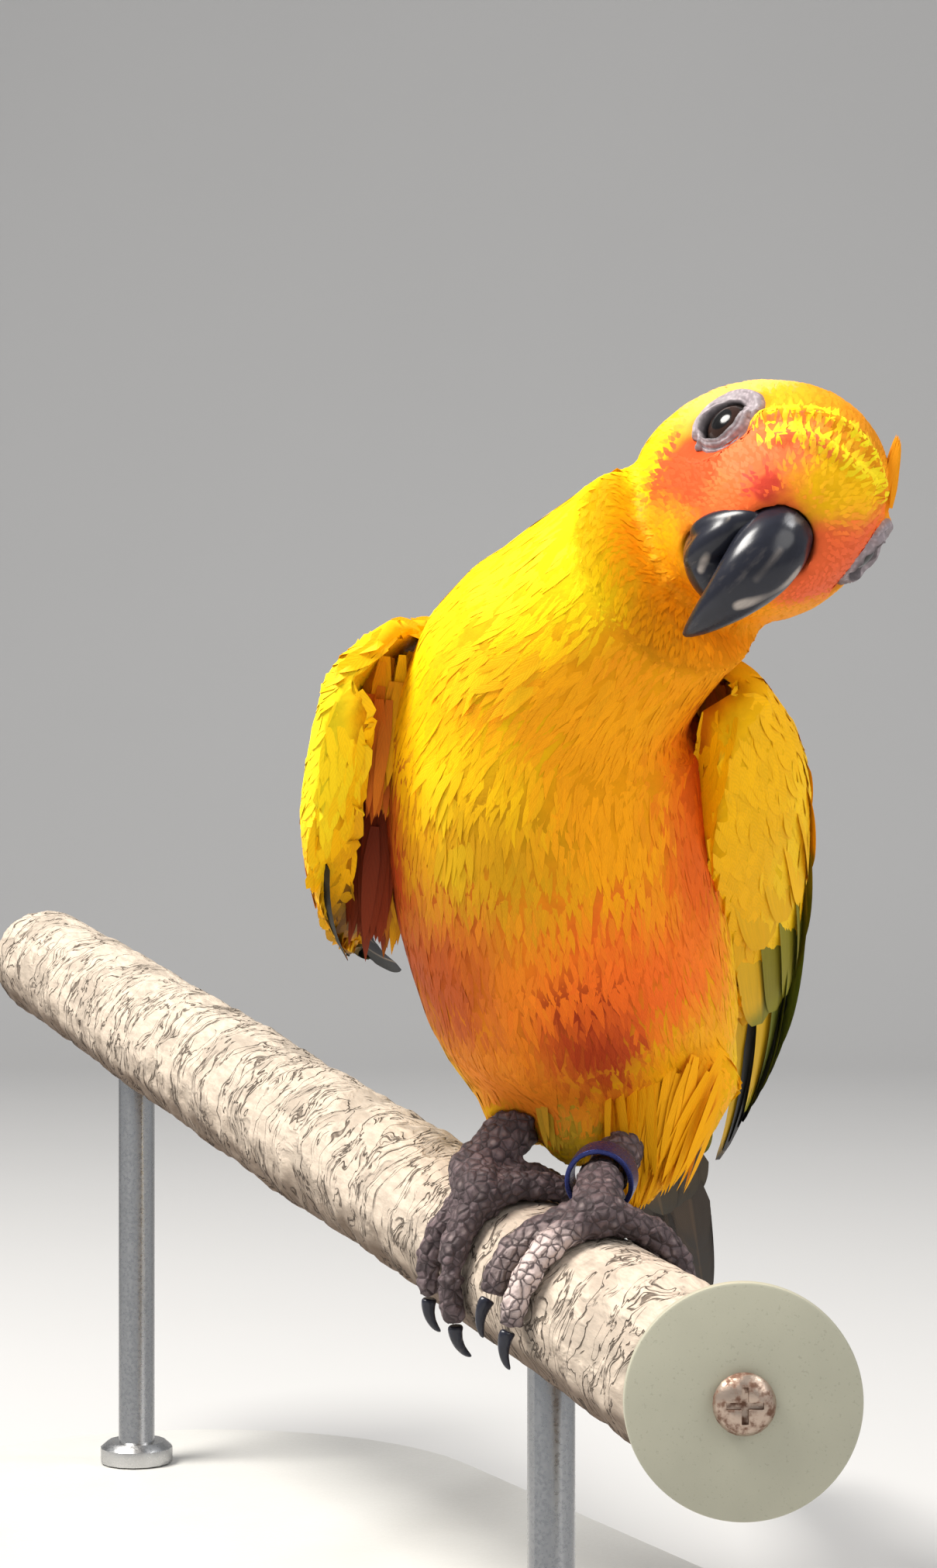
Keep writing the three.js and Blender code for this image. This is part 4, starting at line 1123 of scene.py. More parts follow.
def wing_skin(name, wing, sheet):
    """The flesh of a wing under its coverts, thinner towards its end."""
    rows, steps = 28, 18
    rings = []
    c = np.linspace(0, 1, steps)
    for s in np.linspace(0, WING_SKIN_END, rows):
        thin = 1 - 0.75 * s / WING_SKIN_END
        outer = sheet.at(s, c)
        _, out = sheet.frame_at(np.full(steps, s), c)
        thick = (wing["fore"] + (wing["aft"] - wing["fore"]) * np.sqrt(c)) * thin
        inner = outer - out * thick[:, None]
        raised = 0.25 - 0.75 * smooth_share(s, 0.28, 0.42)
        rings.append(np.vstack((outer + out * raised, inner[::-1])))
    nose = np.array(rings[0])
    middle = nose.mean(0) + np.array((0, -2.4, 0))
    rings.insert(0, middle + (nose - middle) * 0.55 + np.array((0, -0.6, 0)))
    return ring_body(name, np.array(rings) * MM)


# Outer webs of the first feathers: the dark line along the right wing, the yellow one along the left
DARK_EDGE = (0.02, 0.02, 0.014)
YELLOW_EDGE = (0.8, 0.47, 0.012)


def leaf_outline(u, blunt):
    """Half width along a flight feather from root to tip, as a share of its full half width."""
    start = np.minimum(1, 0.42 + 1.9 * u)
    return start * np.sqrt(np.clip(1 - u ** blunt, 0, 1)) * (1 - 0.12 * u)


def vane_thickness(u):
    """Half thickness along a flight feather, in millimetres."""
    return 0.32 * (1 - 0.6 * u)


def flight_feathers(hand, sheet, row, seed, material):
    """One row of a wing's long feathers, fanned from the leading edge over the back."""
    title, count, root, tip, span, width, lift, outer, inner, end, shaft = row
    rng = np.random.default_rng(seed)
    rows = 16
    share = np.linspace(0, 1, count)
    c0 = span[0] + (span[1] - span[0]) * share
    root_s = root[0] + (root[1] - root[0]) * share
    tip_s = tip[0] + (tip[1] - tip[0]) * share + rng.normal(0, 0.008, count)
    u = np.linspace(0, 1, rows + 1)
    s = root_s[:, None] + (tip_s - root_s)[:, None] * u
    c = np.clip(c0[:, None] + (0.04 * (1 - u))[None] * (0.5 - c0[:, None]), 0, 1)
    along, out = sheet.frame_at(s, c)
    centres = sheet.at(s, c) + out * (lift - 1.9 * (1 - u[None]) ** 2 - 0.1)[..., None]
    side = unit(np.cross(out, along)) * sheet.side
    roll = -np.radians((4 if title == "median_coverts" else 8) + rng.normal(0, 1, count))[:, None, None]
    across = unit(side * np.cos(roll) + out * np.sin(roll))
    up = unit(np.cross(along, across))
    up = np.where((up * out).sum(-1, keepdims=True) < 0, -up, up)
    half = leaf_outline(u[:rows], 5.0)[None] * (width * (1 + rng.normal(0, 0.04, count)))[:, None] / 2
    columns = np.stack((share * 0.9 + 0.01, np.full(count, 0.01)), -1)
    tone = 1 + rng.normal(0, 0.06, (count, 1))
    outer_web = np.array(outer) * tone
    if sheet.side < 0 and title != "primaries":
        outer_web[:2] = DARK_EDGE
    if sheet.side > 0 and title != "median_coverts":
        outer_web[0] = YELLOW_EDGE
    features = {"outer_web": outer_web, "inner_web": np.array(inner) * tone,
                "tip_colour": np.array(end) * tone, "shaft_colour": np.tile(shaft, (count, 1)),
                "coat_normal": out}
    obj = vane_piece(f"{title}_{hand}", centres, across, up, half, vane_thickness(u[:rows]), FINE_SECTION,
                     columns, (0.81 / count, 0.97), features)
    finish_piece(obj, material)


class CONURE_OT_wings(bpy.types.Operator):
    """Wings: their flesh, the rows of long feathers, and the small coverts over them"""
    bl_idname = "conure.wings"
    bl_label = "Wings"

    def execute(self, context):
        seed = plumage().seed
        feathers = vane_material("wing_feathers")
        small = coat_material("wing_small_feathers", "wing_colour_and_painted_shade", 0.85)
        skin_finish = skin_material("wing_skin", "wing_colour_and_painted_shade")
        for hand, wing in WINGS.items():
            sheet = WingSheet(wing)
            skin = wing_skin(f"wing_skin_{hand}", wing, sheet)
            finish_piece(skin, skin_finish, (f"wing_{hand}",))
            for k, row in enumerate(WING_ROWS):
                flight_feathers(hand, sheet, row, seed + 20 + k, feathers)
            self.small_coverts(hand, wing, sheet, skin, seed, small)
        return {"FINISHED"}

    def small_coverts(self, hand, wing, sheet, skin, seed, material):
        """Small feathers over the wing's skin, except where it lies inside the body."""
        def spacing_at(points, normals):
            outside = normals[:, 0] * sheet.side > -0.1
            reach = np.where(outside, 0.34, 0.42) * wing["reach"]
            return np.where((points - sheet.wrist) @ sheet.line < reach, 1.2 * coarseness(), 0)

        def lie_at(points, normals):
            front = np.maximum(0, -(normals @ sheet.line))[:, None]
            return square_to(sheet.line + front * np.array((0.9 * sheet.side, 0, -0.6)), normals)

        roots, normals = scatter(skin, spacing_at, seed + 30)
        outside = np.array([outside_of(SCENE_STATE["skin_tree"], place) for place in roots])
        roots, normals = roots[outside], normals[outside]
        rng = np.random.default_rng(seed + 31)
        length = rng.normal(9.5, 0.5, len(roots))
        width = rng.normal(3.2, 0.2, len(roots)) * coarseness() ** 0.5
        lift = rng.normal(0.1, 0.015, len(roots))
        along = (roots - sheet.wrist) @ sheet.line / wing["reach"]
        across = (roots[:, 0] - roots[:, 0].min()) / 30
        unwrap = np.clip(np.stack((across, along), -1), 0, 0.99)
        feather_coat(f"wing_coverts_{hand}", roots, normals, length, width, lift, lie_at, tree_of(skin),
                     unwrap, material, seed + 32, np.zeros(len(roots)), rows=5)


def outside_of(tree, place):
    hit, normal, _, _ = tree.find_nearest(place * MM)
    return (Vector(place * MM) - hit).dot(normal) >= 0


class CONURE_OT_tufts(bpy.types.Operator):
    """Loose hanging feathers of the thighs and flank, and the small tuft beside the crown"""
    bl_idname = "conure.tufts"
    bl_label = "Tufts"

    def execute(self, context):
        material = coat_material("loose_feathers", "plumage_colour_and_painted_light", 0.7)
        rows = 7
        u = np.linspace(0, 1, rows + 1)[None, :, None]
        for k, (title, root, root_spread, tip, tip_spread, count, width) in enumerate(TUFTS):
            rng = np.random.default_rng(plumage().seed + 60 + k)
            place = rng.normal(0, 0.5, (count, 3)).clip(-1, 1)
            start = np.array(root) + place * root_spread
            end = np.array(tip) + (place * 0.8 + rng.normal(0, 0.2, (count, 3))) * tip_spread
            out = unit(start - np.array(root) + np.array((0, -6.0, 0)))
            centres = start[:, None] * (1 - u) + end[:, None] * u + out[:, None] * (u * (1 - u)) * 1.4
            turned = unit(np.gradient(centres, axis=1))
            across = unit(np.cross(turned, out[:, None]))
            up = np.cross(across, turned)
            half = width / 2 * leaf_widths(rows, 0.3)[None] * rng.normal(1, 0.12, (count, 1))
            features = {"root_place": (start * 0.7 + end * 0.3) * MM,
                        "feather_tone": rng.normal(0, 0.5, count),
                        "coat_normal": out, "painted_highlight": np.zeros(count)}
            unwrap = np.stack((0.02 + 0.9 * rng.random(count), 0.02 + 0.9 * rng.random(count)), -1)
            obj = vane_piece(f"tuft_{title}", centres, across, up, half, 0.04, COARSE_SECTION, unwrap,
                             TUFT_PATCH, features)
            finish_piece(obj, material)
        return {"FINISHED"}


class CONURE_OT_tail(bpy.types.Operator):
    """Graduated tail feathers, the middle pair on top, with coverts above and below"""
    bl_idname = "conure.tail"
    bl_label = "Tail"

    def execute(self, context):
        rng = np.random.default_rng(plumage().seed + 50)
        along = unit(TAIL_TIP - TAIL_ROOT)
        side = unit(np.cross(along, np.array((0, 0, 1.0))))
        up = np.cross(side, along)
        rows = 22
        u = np.linspace(0, 1, rows + 1)
        # Each feather: start and end along the tail, place to its side, lift, drop to the tip, width,
        # roll, and the colours of the outer web, the inner web and the tip
        sets = []
        for rank, length in enumerate(TAIL_LENGTHS):
            for half in (-1, 1):
                lift = 1.9 + half * 0.48 if rank == 0 else 1.3 - rank * 0.95
                off = half * 0.5 if rank == 0 else half * (4.25 + 0.2 * rank)
                wide = 9.4 if rank == 0 else 7.6
                roll = 0.0 if rank == 0 else half * -0.05
                sets.append((4, length + rng.normal(0, 0.8), off, lift, 0.4, wide, roll,
                             (0.052, 0.03, 0.014), (0.03, 0.018, 0.009), (0.028, 0.02, 0.014)))
        for k in range(7):
            share = k / 6 * 2 - 1
            middle = 1 - abs(share)
            sets.append((-6, 28 + 14 * middle, share * 6.2, 3.4 + 0.9 * middle, 0.6, 8.4, -share * 0.24,
                         (0.62, 0.5, 0.04), (0.5, 0.42, 0.04), (0.3, 0.32, 0.05)))
            sets.append((-6, 34 + 10 * middle, share * 5.4, -3.8 - 0.7 * middle, -1.0, 8.4, share * 0.24,
                         (0.075, 0.045, 0.016), (0.045, 0.03, 0.012), (0.04, 0.03, 0.016)))
        count = len(sets)
        centres, across, ups = (np.empty((count, rows + 1, 3)) for _ in range(3))
        half = np.empty((count, rows))
        for i, (start, end, off, lift, drop, wide, roll, *_) in enumerate(sets):
            a = start + u * (end - start)
            s = off * (0.35 + 0.65 * np.minimum(1, 2 * u))
            h = lift - drop * u ** 2
            centres[i] = TAIL_ROOT + a[:, None] * along + s[:, None] * side + h[:, None] * up
            across[i] = side * math.cos(roll) + up * math.sin(roll)
            ups[i] = up * math.cos(roll) - side * math.sin(roll)
            half[i] = leaf_outline(u[:rows], 4.0) * wide / 2
        tone = 1 + rng.normal(0, 0.05, (count, 1))
        outer, inner, tip = (np.array([s[k] for s in sets]) * tone for k in (7, 8, 9))
        features = {"outer_web": outer, "inner_web": inner, "tip_colour": tip, "shaft_colour": outer * 1.8,
                    "coat_normal": ups[:, rows // 2]}
        columns = np.stack((np.arange(count) / count * 0.97 + 0.01, np.full(count, 0.01)), -1)
        obj = vane_piece("tail_feathers", centres, across, ups, half, vane_thickness(u[:rows]), FINE_SECTION,
                         columns, (0.9 / count, 0.97), features)
        finish_piece(obj, vane_material("tail_feathers"), ("tail",))
        return {"FINISHED"}


# Eyes and the bare skin round them

def eye_axis(side):
    facing = math.radians(EYE_FACING)
    return FORWARD * math.cos(facing) + LEFT * side * math.sin(facing)


def eye_material():
    material, nodes, shader = new_material("eye", roughness=0.14, specular_ior_level=0.3)
    angle = nodes.attribute("off_axis")
    streak = nodes.noise(object_place(nodes), 2600.0, 2.0)
    iris = nodes.mix(streak, tuple(colours().iris), tuple(c * 1.9 for c in colours().iris))
    colour = nodes.mix(nodes.between(angle, 0.40, 0.46), (0.004, 0.0035, 0.0035), iris)
    colour = nodes.mix(nodes.between(angle, 0.66, 0.78), colour, (0.012, 0.008, 0.007))
    nodes.link(colour, shader["Base Color"])
    return material


def bare_skin_material():
    material, nodes, shader = new_material("bare_eye_skin", roughness=0.55, specular_ior_level=0.4)
    place = object_place(nodes)
    rim = nodes.attribute("rim_share")
    creases = nodes.cells(place, 1500.0)
    pale = tuple(colours().eye_ring)
    colour = nodes.mix(nodes.between(rim, 0.0, 0.22), tuple(c * 0.3 for c in pale), pale)
    colour = nodes.mix(nodes.between(rim, 0.85, 1.0), colour, (0.4, 0.2, 0.14))
    colour = toned(nodes, colour, nodes.between(creases, 0.0, 0.7, 1.12, 0.72))
    nodes.link(colour, shader["Base Color"])
    nodes.link(nodes.bump(creases, 0.3, 0.0001), shader["Normal"])
    return material


class CONURE_OT_eyes(bpy.types.Operator):
    """Dark glossy eyes, each in a wrinkled ring of bare skin"""
    bl_idname = "conure.eyes"
    bl_label = "Eyes"

    def execute(self, context):
        ball_finish, skin_finish = eye_material(), bare_skin_material()
        for side, hand in ((-1, "right"), (1, "left")):
            low, high = box_of(f"eye_{hand}")
            centre = (low + high) / 2
            radius = float((high - low).max() / 2)
            select_only()
            bpy.ops.mesh.primitive_uv_sphere_add(segments=48, ring_count=32, radius=radius, location=centre)
            ball = bpy.context.active_object
            ball.name = f"eyeball_{hand}"
            bpy.ops.object.transform_apply(location=True, rotation=True, scale=True)
            look = eye_axis(side)
            cosine = ((points_of(ball) - centre) @ look) / radius
            carry(ball, "off_axis", np.arccos(np.clip(cosine, -1, 1)))
            shade_smooth(ball)
            finish_piece(ball, ball_finish, (f"eye_{hand}",))
            self.eye_ring(f"eye_ring_{hand}", centre / MM, radius / MM, look, skin_finish)
        return {"FINISHED"}

    def eye_ring(self, name, centre, radius, look, material):
        """A ring from the rim on the ball out to the feathers, a little pointed towards the crown."""
        turns, rows = 96, 12
        across = unit(np.cross(UP, look))
        up = np.cross(look, across)
        turn = np.arange(turns) * 2 * math.pi / turns
        heading = np.cos(turn)[:, None] * across + np.sin(turn)[:, None] * up
        opening = radius * 0.79
        tall = 1 + 0.06 * np.abs(np.sin(turn))
        rim = centre + heading * (opening * tall)[:, None]
        rim = rim + look * math.sqrt(radius ** 2 - opening ** 2) * 0.97
        point = 1 + 0.1 * np.maximum(0, heading @ unit(UP - FORWARD * 0.6)) ** 3
        outer_at = centre + heading * (EYE_RING_REACH * point)[:, None] + look * 1.6
        skin = SCENE_STATE["skin_tree"]
        outer, normal = nearest_on(skin, outer_at, 0.01)
        outer = outer - normal * 0.25
        rings, pushes = [], []
        for t in np.linspace(0, 1, rows):
            swell = 0.35 * math.sin(math.pi * min(1, t * 1.15 + 0.08)) + 0.1 * math.sin(t * 21)
            ring = rim * (1 - t) + outer * t + look * swell
            over, facing = nearest_on(skin, ring, 0.01)
            height = ((ring - over) * facing).sum(1)
            wanted = 1.0 - 1.25 * smooth_share(t, 0.85, 1)
            pushes.append(np.maximum(0, wanted - height) * min(1, t * 12))
            wrinkle = np.array([noise.noise(Vector(place) * 1.2) for place in ring])
            rings.append(ring + look * (wrinkle * 0.08 * math.sin(math.pi * t))[:, None])
        pushes = np.array(pushes)
        for _ in range(8):
            pushes = (np.roll(pushes, 1, 1) + 2 * pushes + np.roll(pushes, -1, 1)) / 4
        rings = [ring + look * push[:, None] for ring, push in zip(rings, pushes)]
        under = [ring - look * 0.5 for ring in rings[::-1]]
        obj = hoop_body(name, np.array(rings + under) * MM)
        share = np.linspace(0, 1, rows)
        carry(obj, "rim_share", np.repeat(np.concatenate((share, share[::-1])), turns))
        finish_piece(obj, material)


# Bill and claws

# Painted highlights on the bill, pale lines along its edges and ridge: from, to, half width, softness, and
# strength
BILL_HIGHLIGHTS = {
    "bill_upper": (
        ((35.4, -59.2, 163.2), (43.8, -57.4, 168), 0.7, 0.35, 0.95),
        ((37.7, -60.2, 166.9), (40.9, -60.3, 170.6), 0.35, 0.45, 0.3),
        ((38, -56, 175.4), (34.8, -55, 172.6), 0.2, 0.3, 0.7),
    ),
    "bill_lower": (
        ((34.6, -55.4, 175.2), (32.4, -54, 171.2), 0.25, 0.3, 0.75),
        ((31.9, -53.6, 170.8), (30.9, -53, 168.6), 0.5, 0.35, 0.8),
    ),
}


# Swellings that widen the lower bill at its side: from, to and radius
LOWER_BILL_CHEEKS = (((31.6, -50.8, 174), (37, -55, 175), 2.1), ((30.8, -51, 170.5), (34.8, -54, 173.8), 2.3))


def horn_material(name, dark, pale, pale_share, highlight_lines=()):
    material, nodes, shader = new_material(name, roughness=0.3, specular_ior_level=0.4)
    place = object_place(nodes)
    local = nodes.vector("SUBTRACT", place, tuple(HEAD_AT * MM))
    spread = [nodes.math("MULTIPLY", nodes.vector("DOT_PRODUCT", local, tuple(axis)), scale)
              for axis, scale in ((LEFT, 420.0), (FORWARD - UP, 90.0), (FORWARD + UP, 90.0))]
    streaks = nodes.noise(nodes.joined(*spread), 1.0, 4.0, 0.6)
    worn = nodes.math("MULTIPLY", nodes.between(streaks, 0.56, 0.74), pale_share)
    # The pale share holds real worn streaks and, from these lines, painted highlights
    for start, end, reach, soft, strength in highlight_lines:
        near = nodes.near_line(place, start, end, reach, soft)
        near = nodes.math("MULTIPLY", near, nodes.between(streaks, 0.3, 0.6, 0.5 * strength, strength))
        worn = nodes.math("MAXIMUM", worn, near)
    colour = nodes.mix(worn, dark, pale)
    tone = uneven(nodes, place, 700.0, 0.25)
    nodes.link(toned(nodes, colour, tone), shader["Base Color"])
    nodes.link(nodes.between(worn, 0.0, 1.0, 0.26, 0.5), shader["Roughness"])
    nodes.link(nodes.bump(streaks, 0.3, 0.00012), shader["Normal"])
    return material


class CONURE_OT_bill(bpy.types.Operator):
    """Upper and lower bill in blue-black horn"""
    bl_idname = "conure.bill"
    bl_label = "Bill"

    def execute(self, context):
        dark, pale = tuple(colours().horn), tuple(colours().horn_pale)
        for node, share in (("bill_upper", 0.12), ("bill_lower", 0.3)):
            material = horn_material(f"{node}_horn", dark, pale, share, BILL_HIGHLIGHTS[node])
            cheeks = [swelling(*cheek) for cheek in LOWER_BILL_CHEEKS] if node == "bill_lower" else ()
            obj = fine_copy(f"{node}_horn", (node,), 0.00028, 14, grow=0.00015, rounded=True, added=cheeks)
            finish_piece(obj, material, (node,))
        claw = horn_material("claw_horn", tuple(c * 1.3 for c in dark), pale, 0.1)
        for hand in ("right", "left"):
            for k in range(1, 5):
                node = f"claw_{hand}_{k}"
                obj = copy_of_nodes(f"{node}_horn", (node,))
                modify(obj, "SUBSURF", levels=2, render_levels=2)
                shade_smooth(obj)
                finish_piece(obj, claw, (node,))
        return {"FINISHED"}


# Feet

FOOT_PLATES = 640.0             # scales of the feet per metre


def foot_material():
    material, nodes, shader = new_material("foot_scales", roughness=0.66, specular_ior_level=0.3)
    place = object_place(nodes)
    middle = nodes.cells(place, FOOT_PLATES)
    edges = nodes.cells(place, FOOT_PLATES, "DISTANCE_TO_EDGE")
    fine = nodes.cells(place, 1900.0)
    dark, pale = tuple(colours().foot), tuple(colours().foot_pale)
    each = nodes.split(middle.node.outputs["Color"])
    colour = toned(nodes, dark, nodes.between(each[0], 0.0, 1.0, 0.62, 1.5, False))
    # Painted highlight: pale centres on some scales
    centre = nodes.math("MULTIPLY", nodes.between(middle, 0.42, 0.05), each[1])
    colour = nodes.mix(nodes.math("MULTIPLY", centre, 0.3), colour, pale)
    # Painted highlight: pale speckled scales where the sun falls on the toes
    sun = nodes.vector("SUBTRACT", place, (0.009, -0.037, 0.0725))
    sun = nodes.vector("LENGTH", nodes.vector("MULTIPLY", sun, (1 / 0.0085, 1 / 0.009, 1 / 0.0075)))
    sunlit_speckle = nodes.between(nodes.math("ADD", nodes.between(edges, 0.0, 0.22), fine), 0.35, 1.0, 0.25, 0.95)
    colour = nodes.mix(nodes.math("MULTIPLY", nodes.between(sun, 1.25, 0.6), sunlit_speckle), colour, pale)
    colour = nodes.mix(nodes.between(edges, 0.1, 0.0, 0.0, 0.75), colour, tuple(c * 0.3 for c in dark))
    nodes.link(colour, shader["Base Color"])
    height = nodes.math("ADD", nodes.between(edges, 0.0, 0.25), nodes.math("MULTIPLY", fine, -0.3))
    nodes.link(nodes.bump(height, 0.8, 0.00035), shader["Normal"])
    return material


class CONURE_OT_feet(bpy.types.Operator):
    """Scaly feet gripping the branch, two toes forward and two back"""
    bl_idname = "conure.feet"
    bl_label = "Feet"

    def execute(self, context):
        material = foot_material()
        for hand in ("right", "left"):
            obj = fine_copy(f"foot_scales_{hand}", (f"foot_{hand}",), 0.00038, 4, grow=0.0001)
            points = points_of(obj)
            gaps = np.array([noise.voronoi(Vector(place) / MM * 0.64)[0][0] for place in points])
            scales = ((0.3 - gaps) * 0.0006).clip(-0.0003, 0.0003)
            set_points(obj, points + normals_of(obj) * scales[:, None])
            finish_piece(obj, material, (f"foot_{hand}",))
        return {"FINISHED"}


class CONURE_OT_leg_ring(bpy.types.Operator):
    """Anodised closed ring on the left leg"""
    bl_idname = "conure.leg_ring"
    bl_label = "Leg ring"

    def execute(self, context):
        material, nodes, shader = new_material("anodised_ring", metallic=0.75, roughness=0.32)
        place = object_place(nodes)
        tone = uneven(nodes, place, 900.0, 0.35)
        nodes.link(toned(nodes, tuple(colours().ring), tone), shader["Base Color"])
        scratches = nodes.noise(nodes.vector("MULTIPLY", place, (1, 1, 8)), 1500.0)
        nodes.link(nodes.between(scratches, 0.3, 0.7, 0.22, 0.45), shader["Roughness"])
        nodes.link(nodes.bump(scratches, 0.15, 0.00004), shader["Normal"])
        obj = copy_of_nodes("leg_band", ("leg_ring",))
        modify(obj, "BEVEL", width=0.00016, segments=2, limit_method="ANGLE", angle_limit=math.radians(50))
        modify(obj, "SUBSURF", levels=2, render_levels=2)
        shade_smooth(obj, 40)
        finish_piece(obj, material, ("leg_ring",))
        return {"FINISHED"}


# Perch

def bark_material():
    material, nodes, shader = new_material("weathered_bark", roughness=0.88, specular_ior_level=0.25)
    place = object_place(nodes)
    along = unit(BRANCH_FAR - BRANCH_NEAR)
    side = unit(np.cross(along, np.array((0, 0, 1.0))))
    up = np.cross(side, along)
    local = nodes.vector("SUBTRACT", place, tuple(BRANCH_NEAR * MM))
    branch = nodes.joined(*(nodes.vector("DOT_PRODUCT", local, tuple(axis)) for axis in (along, side, up)))
    warped = nodes.wandered(branch, 90.0, 2.0, 0.012)
    across = nodes.vector("MULTIPLY", warped, (1.0, 0.3, 0.3))
    fine_line = nodes.math("ABSOLUTE", nodes.math("SUBTRACT", nodes.noise(across, 420.0, 3.0, 0.5), 0.5))
    long_line = nodes.noise(across, 170.0, 4.0, 0.55, 0.6)
    long_line = nodes.math("ABSOLUTE", nodes.math("SUBTRACT", long_line, 0.5))
    broken = nodes.between(nodes.noise(branch, 130.0, 2.0), 0.42, 0.56)
    fine = nodes.noise(nodes.vector("MULTIPLY", branch, (1.0, 3.0, 3.0)), 300.0, 5.0, 0.65)
    flake = nodes.noise(nodes.vector("MULTIPLY", warped, (0.7, 1.0, 1.0)), 105.0, 4.0, 0.5)
    pale, dark = tuple(colours().bark), tuple(colours().bark_dark)
    colour = nodes.mix(nodes.between(fine, 0.3, 0.7), tuple(c * 0.72 for c in pale), pale)
    colour = nodes.mix(nodes.between(flake, 0.52, 0.6, 0.0, 0.5), colour, tuple(c * 0.5 for c in pale))
    facing = nodes.add("NewGeometry").outputs["Normal"]
    # Painted shade: the underside of the branch darkened with the crack colour
    under = nodes.between(nodes.vector("DOT_PRODUCT", facing, tuple(up)), 0.15, -0.7)
    colour = nodes.mix(nodes.math("MULTIPLY", under, 0.86), colour, tuple(c * 1.1 for c in dark))
    crack = nodes.math("MULTIPLY", nodes.between(fine_line, 0.02, 0.0), broken)
    crack = nodes.math("MAXIMUM", crack, nodes.between(long_line, 0.012, 0.0))
    colour = nodes.mix(nodes.math("MULTIPLY", crack, 0.8), colour, tuple(c * 0.5 for c in dark))
    nodes.link(colour, shader["Base Color"])
    height = nodes.math("SUBTRACT", nodes.math("MULTIPLY", fine, 0.35), crack)
    height = nodes.math("ADD", height, nodes.math("MULTIPLY", nodes.between(flake, 0.5, 0.6), -0.6))
    nodes.link(nodes.bump(height, 0.9, 0.0007), shader["Normal"])
    return material


def washer_material():
    material, nodes, shader = new_material("matt_plastic", roughness=0.55, specular_ior_level=0.45)
    place = object_place(nodes)
    tone = uneven(nodes, place, 160.0, 0.07)
    speck = nodes.between(nodes.noise(place, 2200.0, 2.0), 0.62, 0.72, 1.0, 0.86)
    tone = nodes.math("MULTIPLY", tone, speck)
    nodes.link(toned(nodes, tuple(colours().washer), tone), shader["Base Color"])
    nodes.link(nodes.bump(nodes.noise(place, 3500.0), 0.2, 0.00006), shader["Normal"])
    return material


def screw_material():
    material, nodes, shader = new_material("worn_screw", metallic=0.85, roughness=0.42)
    place = object_place(nodes)
    rust = nodes.between(nodes.noise(place, 700.0, 4.0), 0.42, 0.66)
    colour = nodes.mix(rust, (0.46, 0.36, 0.29), (0.2, 0.11, 0.075))
    nodes.link(colour, shader["Base Color"])
    nodes.link(nodes.between(rust, 0.0, 1.0, 0.35, 0.75), shader["Roughness"])
    nodes.link(nodes.bump(nodes.noise(place, 2600.0), 0.35, 0.00008), shader["Normal"])
    return material


# Middles of the grips of the two feet, where the bark stays smooth
FEET_AT = ((0, -9, 74), (16, -26, 72))


def washer_profile(radius, thick):
    """Radius and height round the washer's section, with softened edges."""
    hole, edge = 0.0031, 0.0004
    soft = edge * 0.3
    return ((hole, 0), (radius - edge, 0), (radius - soft, soft), (radius, edge),
            (radius, thick - edge), (radius - soft, thick - soft), (radius - edge, thick),
            (hole + 0.0002, thick), (hole, thick - 0.0002))


def turned_ring(name, profile, at, sides=128):
    """A ring turned about the line towards the viewer, through the profile of (radius, height)."""
    turn = np.arange(sides) * 2 * math.pi / sides
    rings = [np.stack((at[0] + radius * np.cos(turn), np.full(sides, at[1] - height),
                       at[2] + radius * np.sin(turn)), -1) for radius, height in profile]
    obj = hoop_body(name, np.array(rings))
    shade_smooth(obj, 30)
    return obj


class CONURE_OT_perch(bpy.types.Operator):
    """Cut length of branch with a plastic washer and a cross-head screw in its end"""
    bl_idname = "conure.perch"
    bl_label = "Perch"

    def execute(self, context):
        branch = fine_copy("branch_bark", ("perch_branch",), 0.0008, 5)
        points, normals = points_of(branch), normals_of(branch)
        along = unit(BRANCH_FAR - BRANCH_NEAR)
        places = points / MM
        run = (places @ along)[:, None] * along
        stretched = (places - run) * 0.1 + run * 0.22
        rough = np.array([noise.fractal(Vector(place), 1.0, 2.0, 4) for place in stretched])
        feet = np.minimum(*(np.linalg.norm(places - foot, axis=1) for foot in FEET_AT))
        calm = smooth_share(feet, 14, 24) * smooth_share(places[:, 1], -57, -52) * (normals[:, 1] > -0.9)
        set_points(branch, points + normals * (np.clip(rough, -1, 1) * 0.0006 * calm)[:, None])
        finish_piece(branch, bark_material(), ("perch_branch",))

        low, high = box_of("perch_washer")
        radius, thick = (high[0] - low[0]) / 2, high[1] - low[1]
        middle = (low + high) / 2
        washer = turned_ring("washer_disc", washer_profile(radius, thick), (middle[0], high[1], middle[2]))
        finish_piece(washer, washer_material(), ("perch_washer",))

        screw = edged_copy("screw_head", "perch_screw", 0.00012, 40, 30)
        finish_piece(screw, screw_material(), ("perch_screw",))
        return {"FINISHED"}


# Stand

def painted_material(name, colour, roughness, metallic=0.0):
    material, nodes, shader = new_material(name, roughness=roughness, metallic=metallic)
    place = object_place(nodes)
    tone = uneven(nodes, place, 60.0, 0.06)
    nodes.link(toned(nodes, colour, tone), shader["Base Color"])
    grain = nodes.noise(place, 1800.0, 2.0)
    nodes.link(nodes.between(grain, 0.3, 0.7, roughness * 0.85, roughness * 1.15), shader["Roughness"])
    nodes.link(nodes.bump(grain, 0.15, 0.00005), shader["Normal"])
    return material


class CONURE_OT_stand(bpy.types.Operator):
    """Flat base plate and two steel rods up to the branch"""
    bl_idname = "conure.stand"
    bl_label = "Stand"

    def execute(self, context):
        base = edged_copy("base_plate", "stand_base", 0.0003, 30, 32)
        paint = painted_material("stand_paint", tuple(colours().stand), 0.5)
        finish_piece(base, paint, ("stand_base",))
        steel = painted_material("brushed_rod", (0.5, 0.5, 0.5), 0.3, 1.0)
        for end in ("front", "rear"):
            node = f"stand_rod_{end}"
            finish_piece(edged_copy(f"rod_{end}", node, 0.0003, 35, 50), steel, (node,))
        return {"FINISHED"}


# Studio

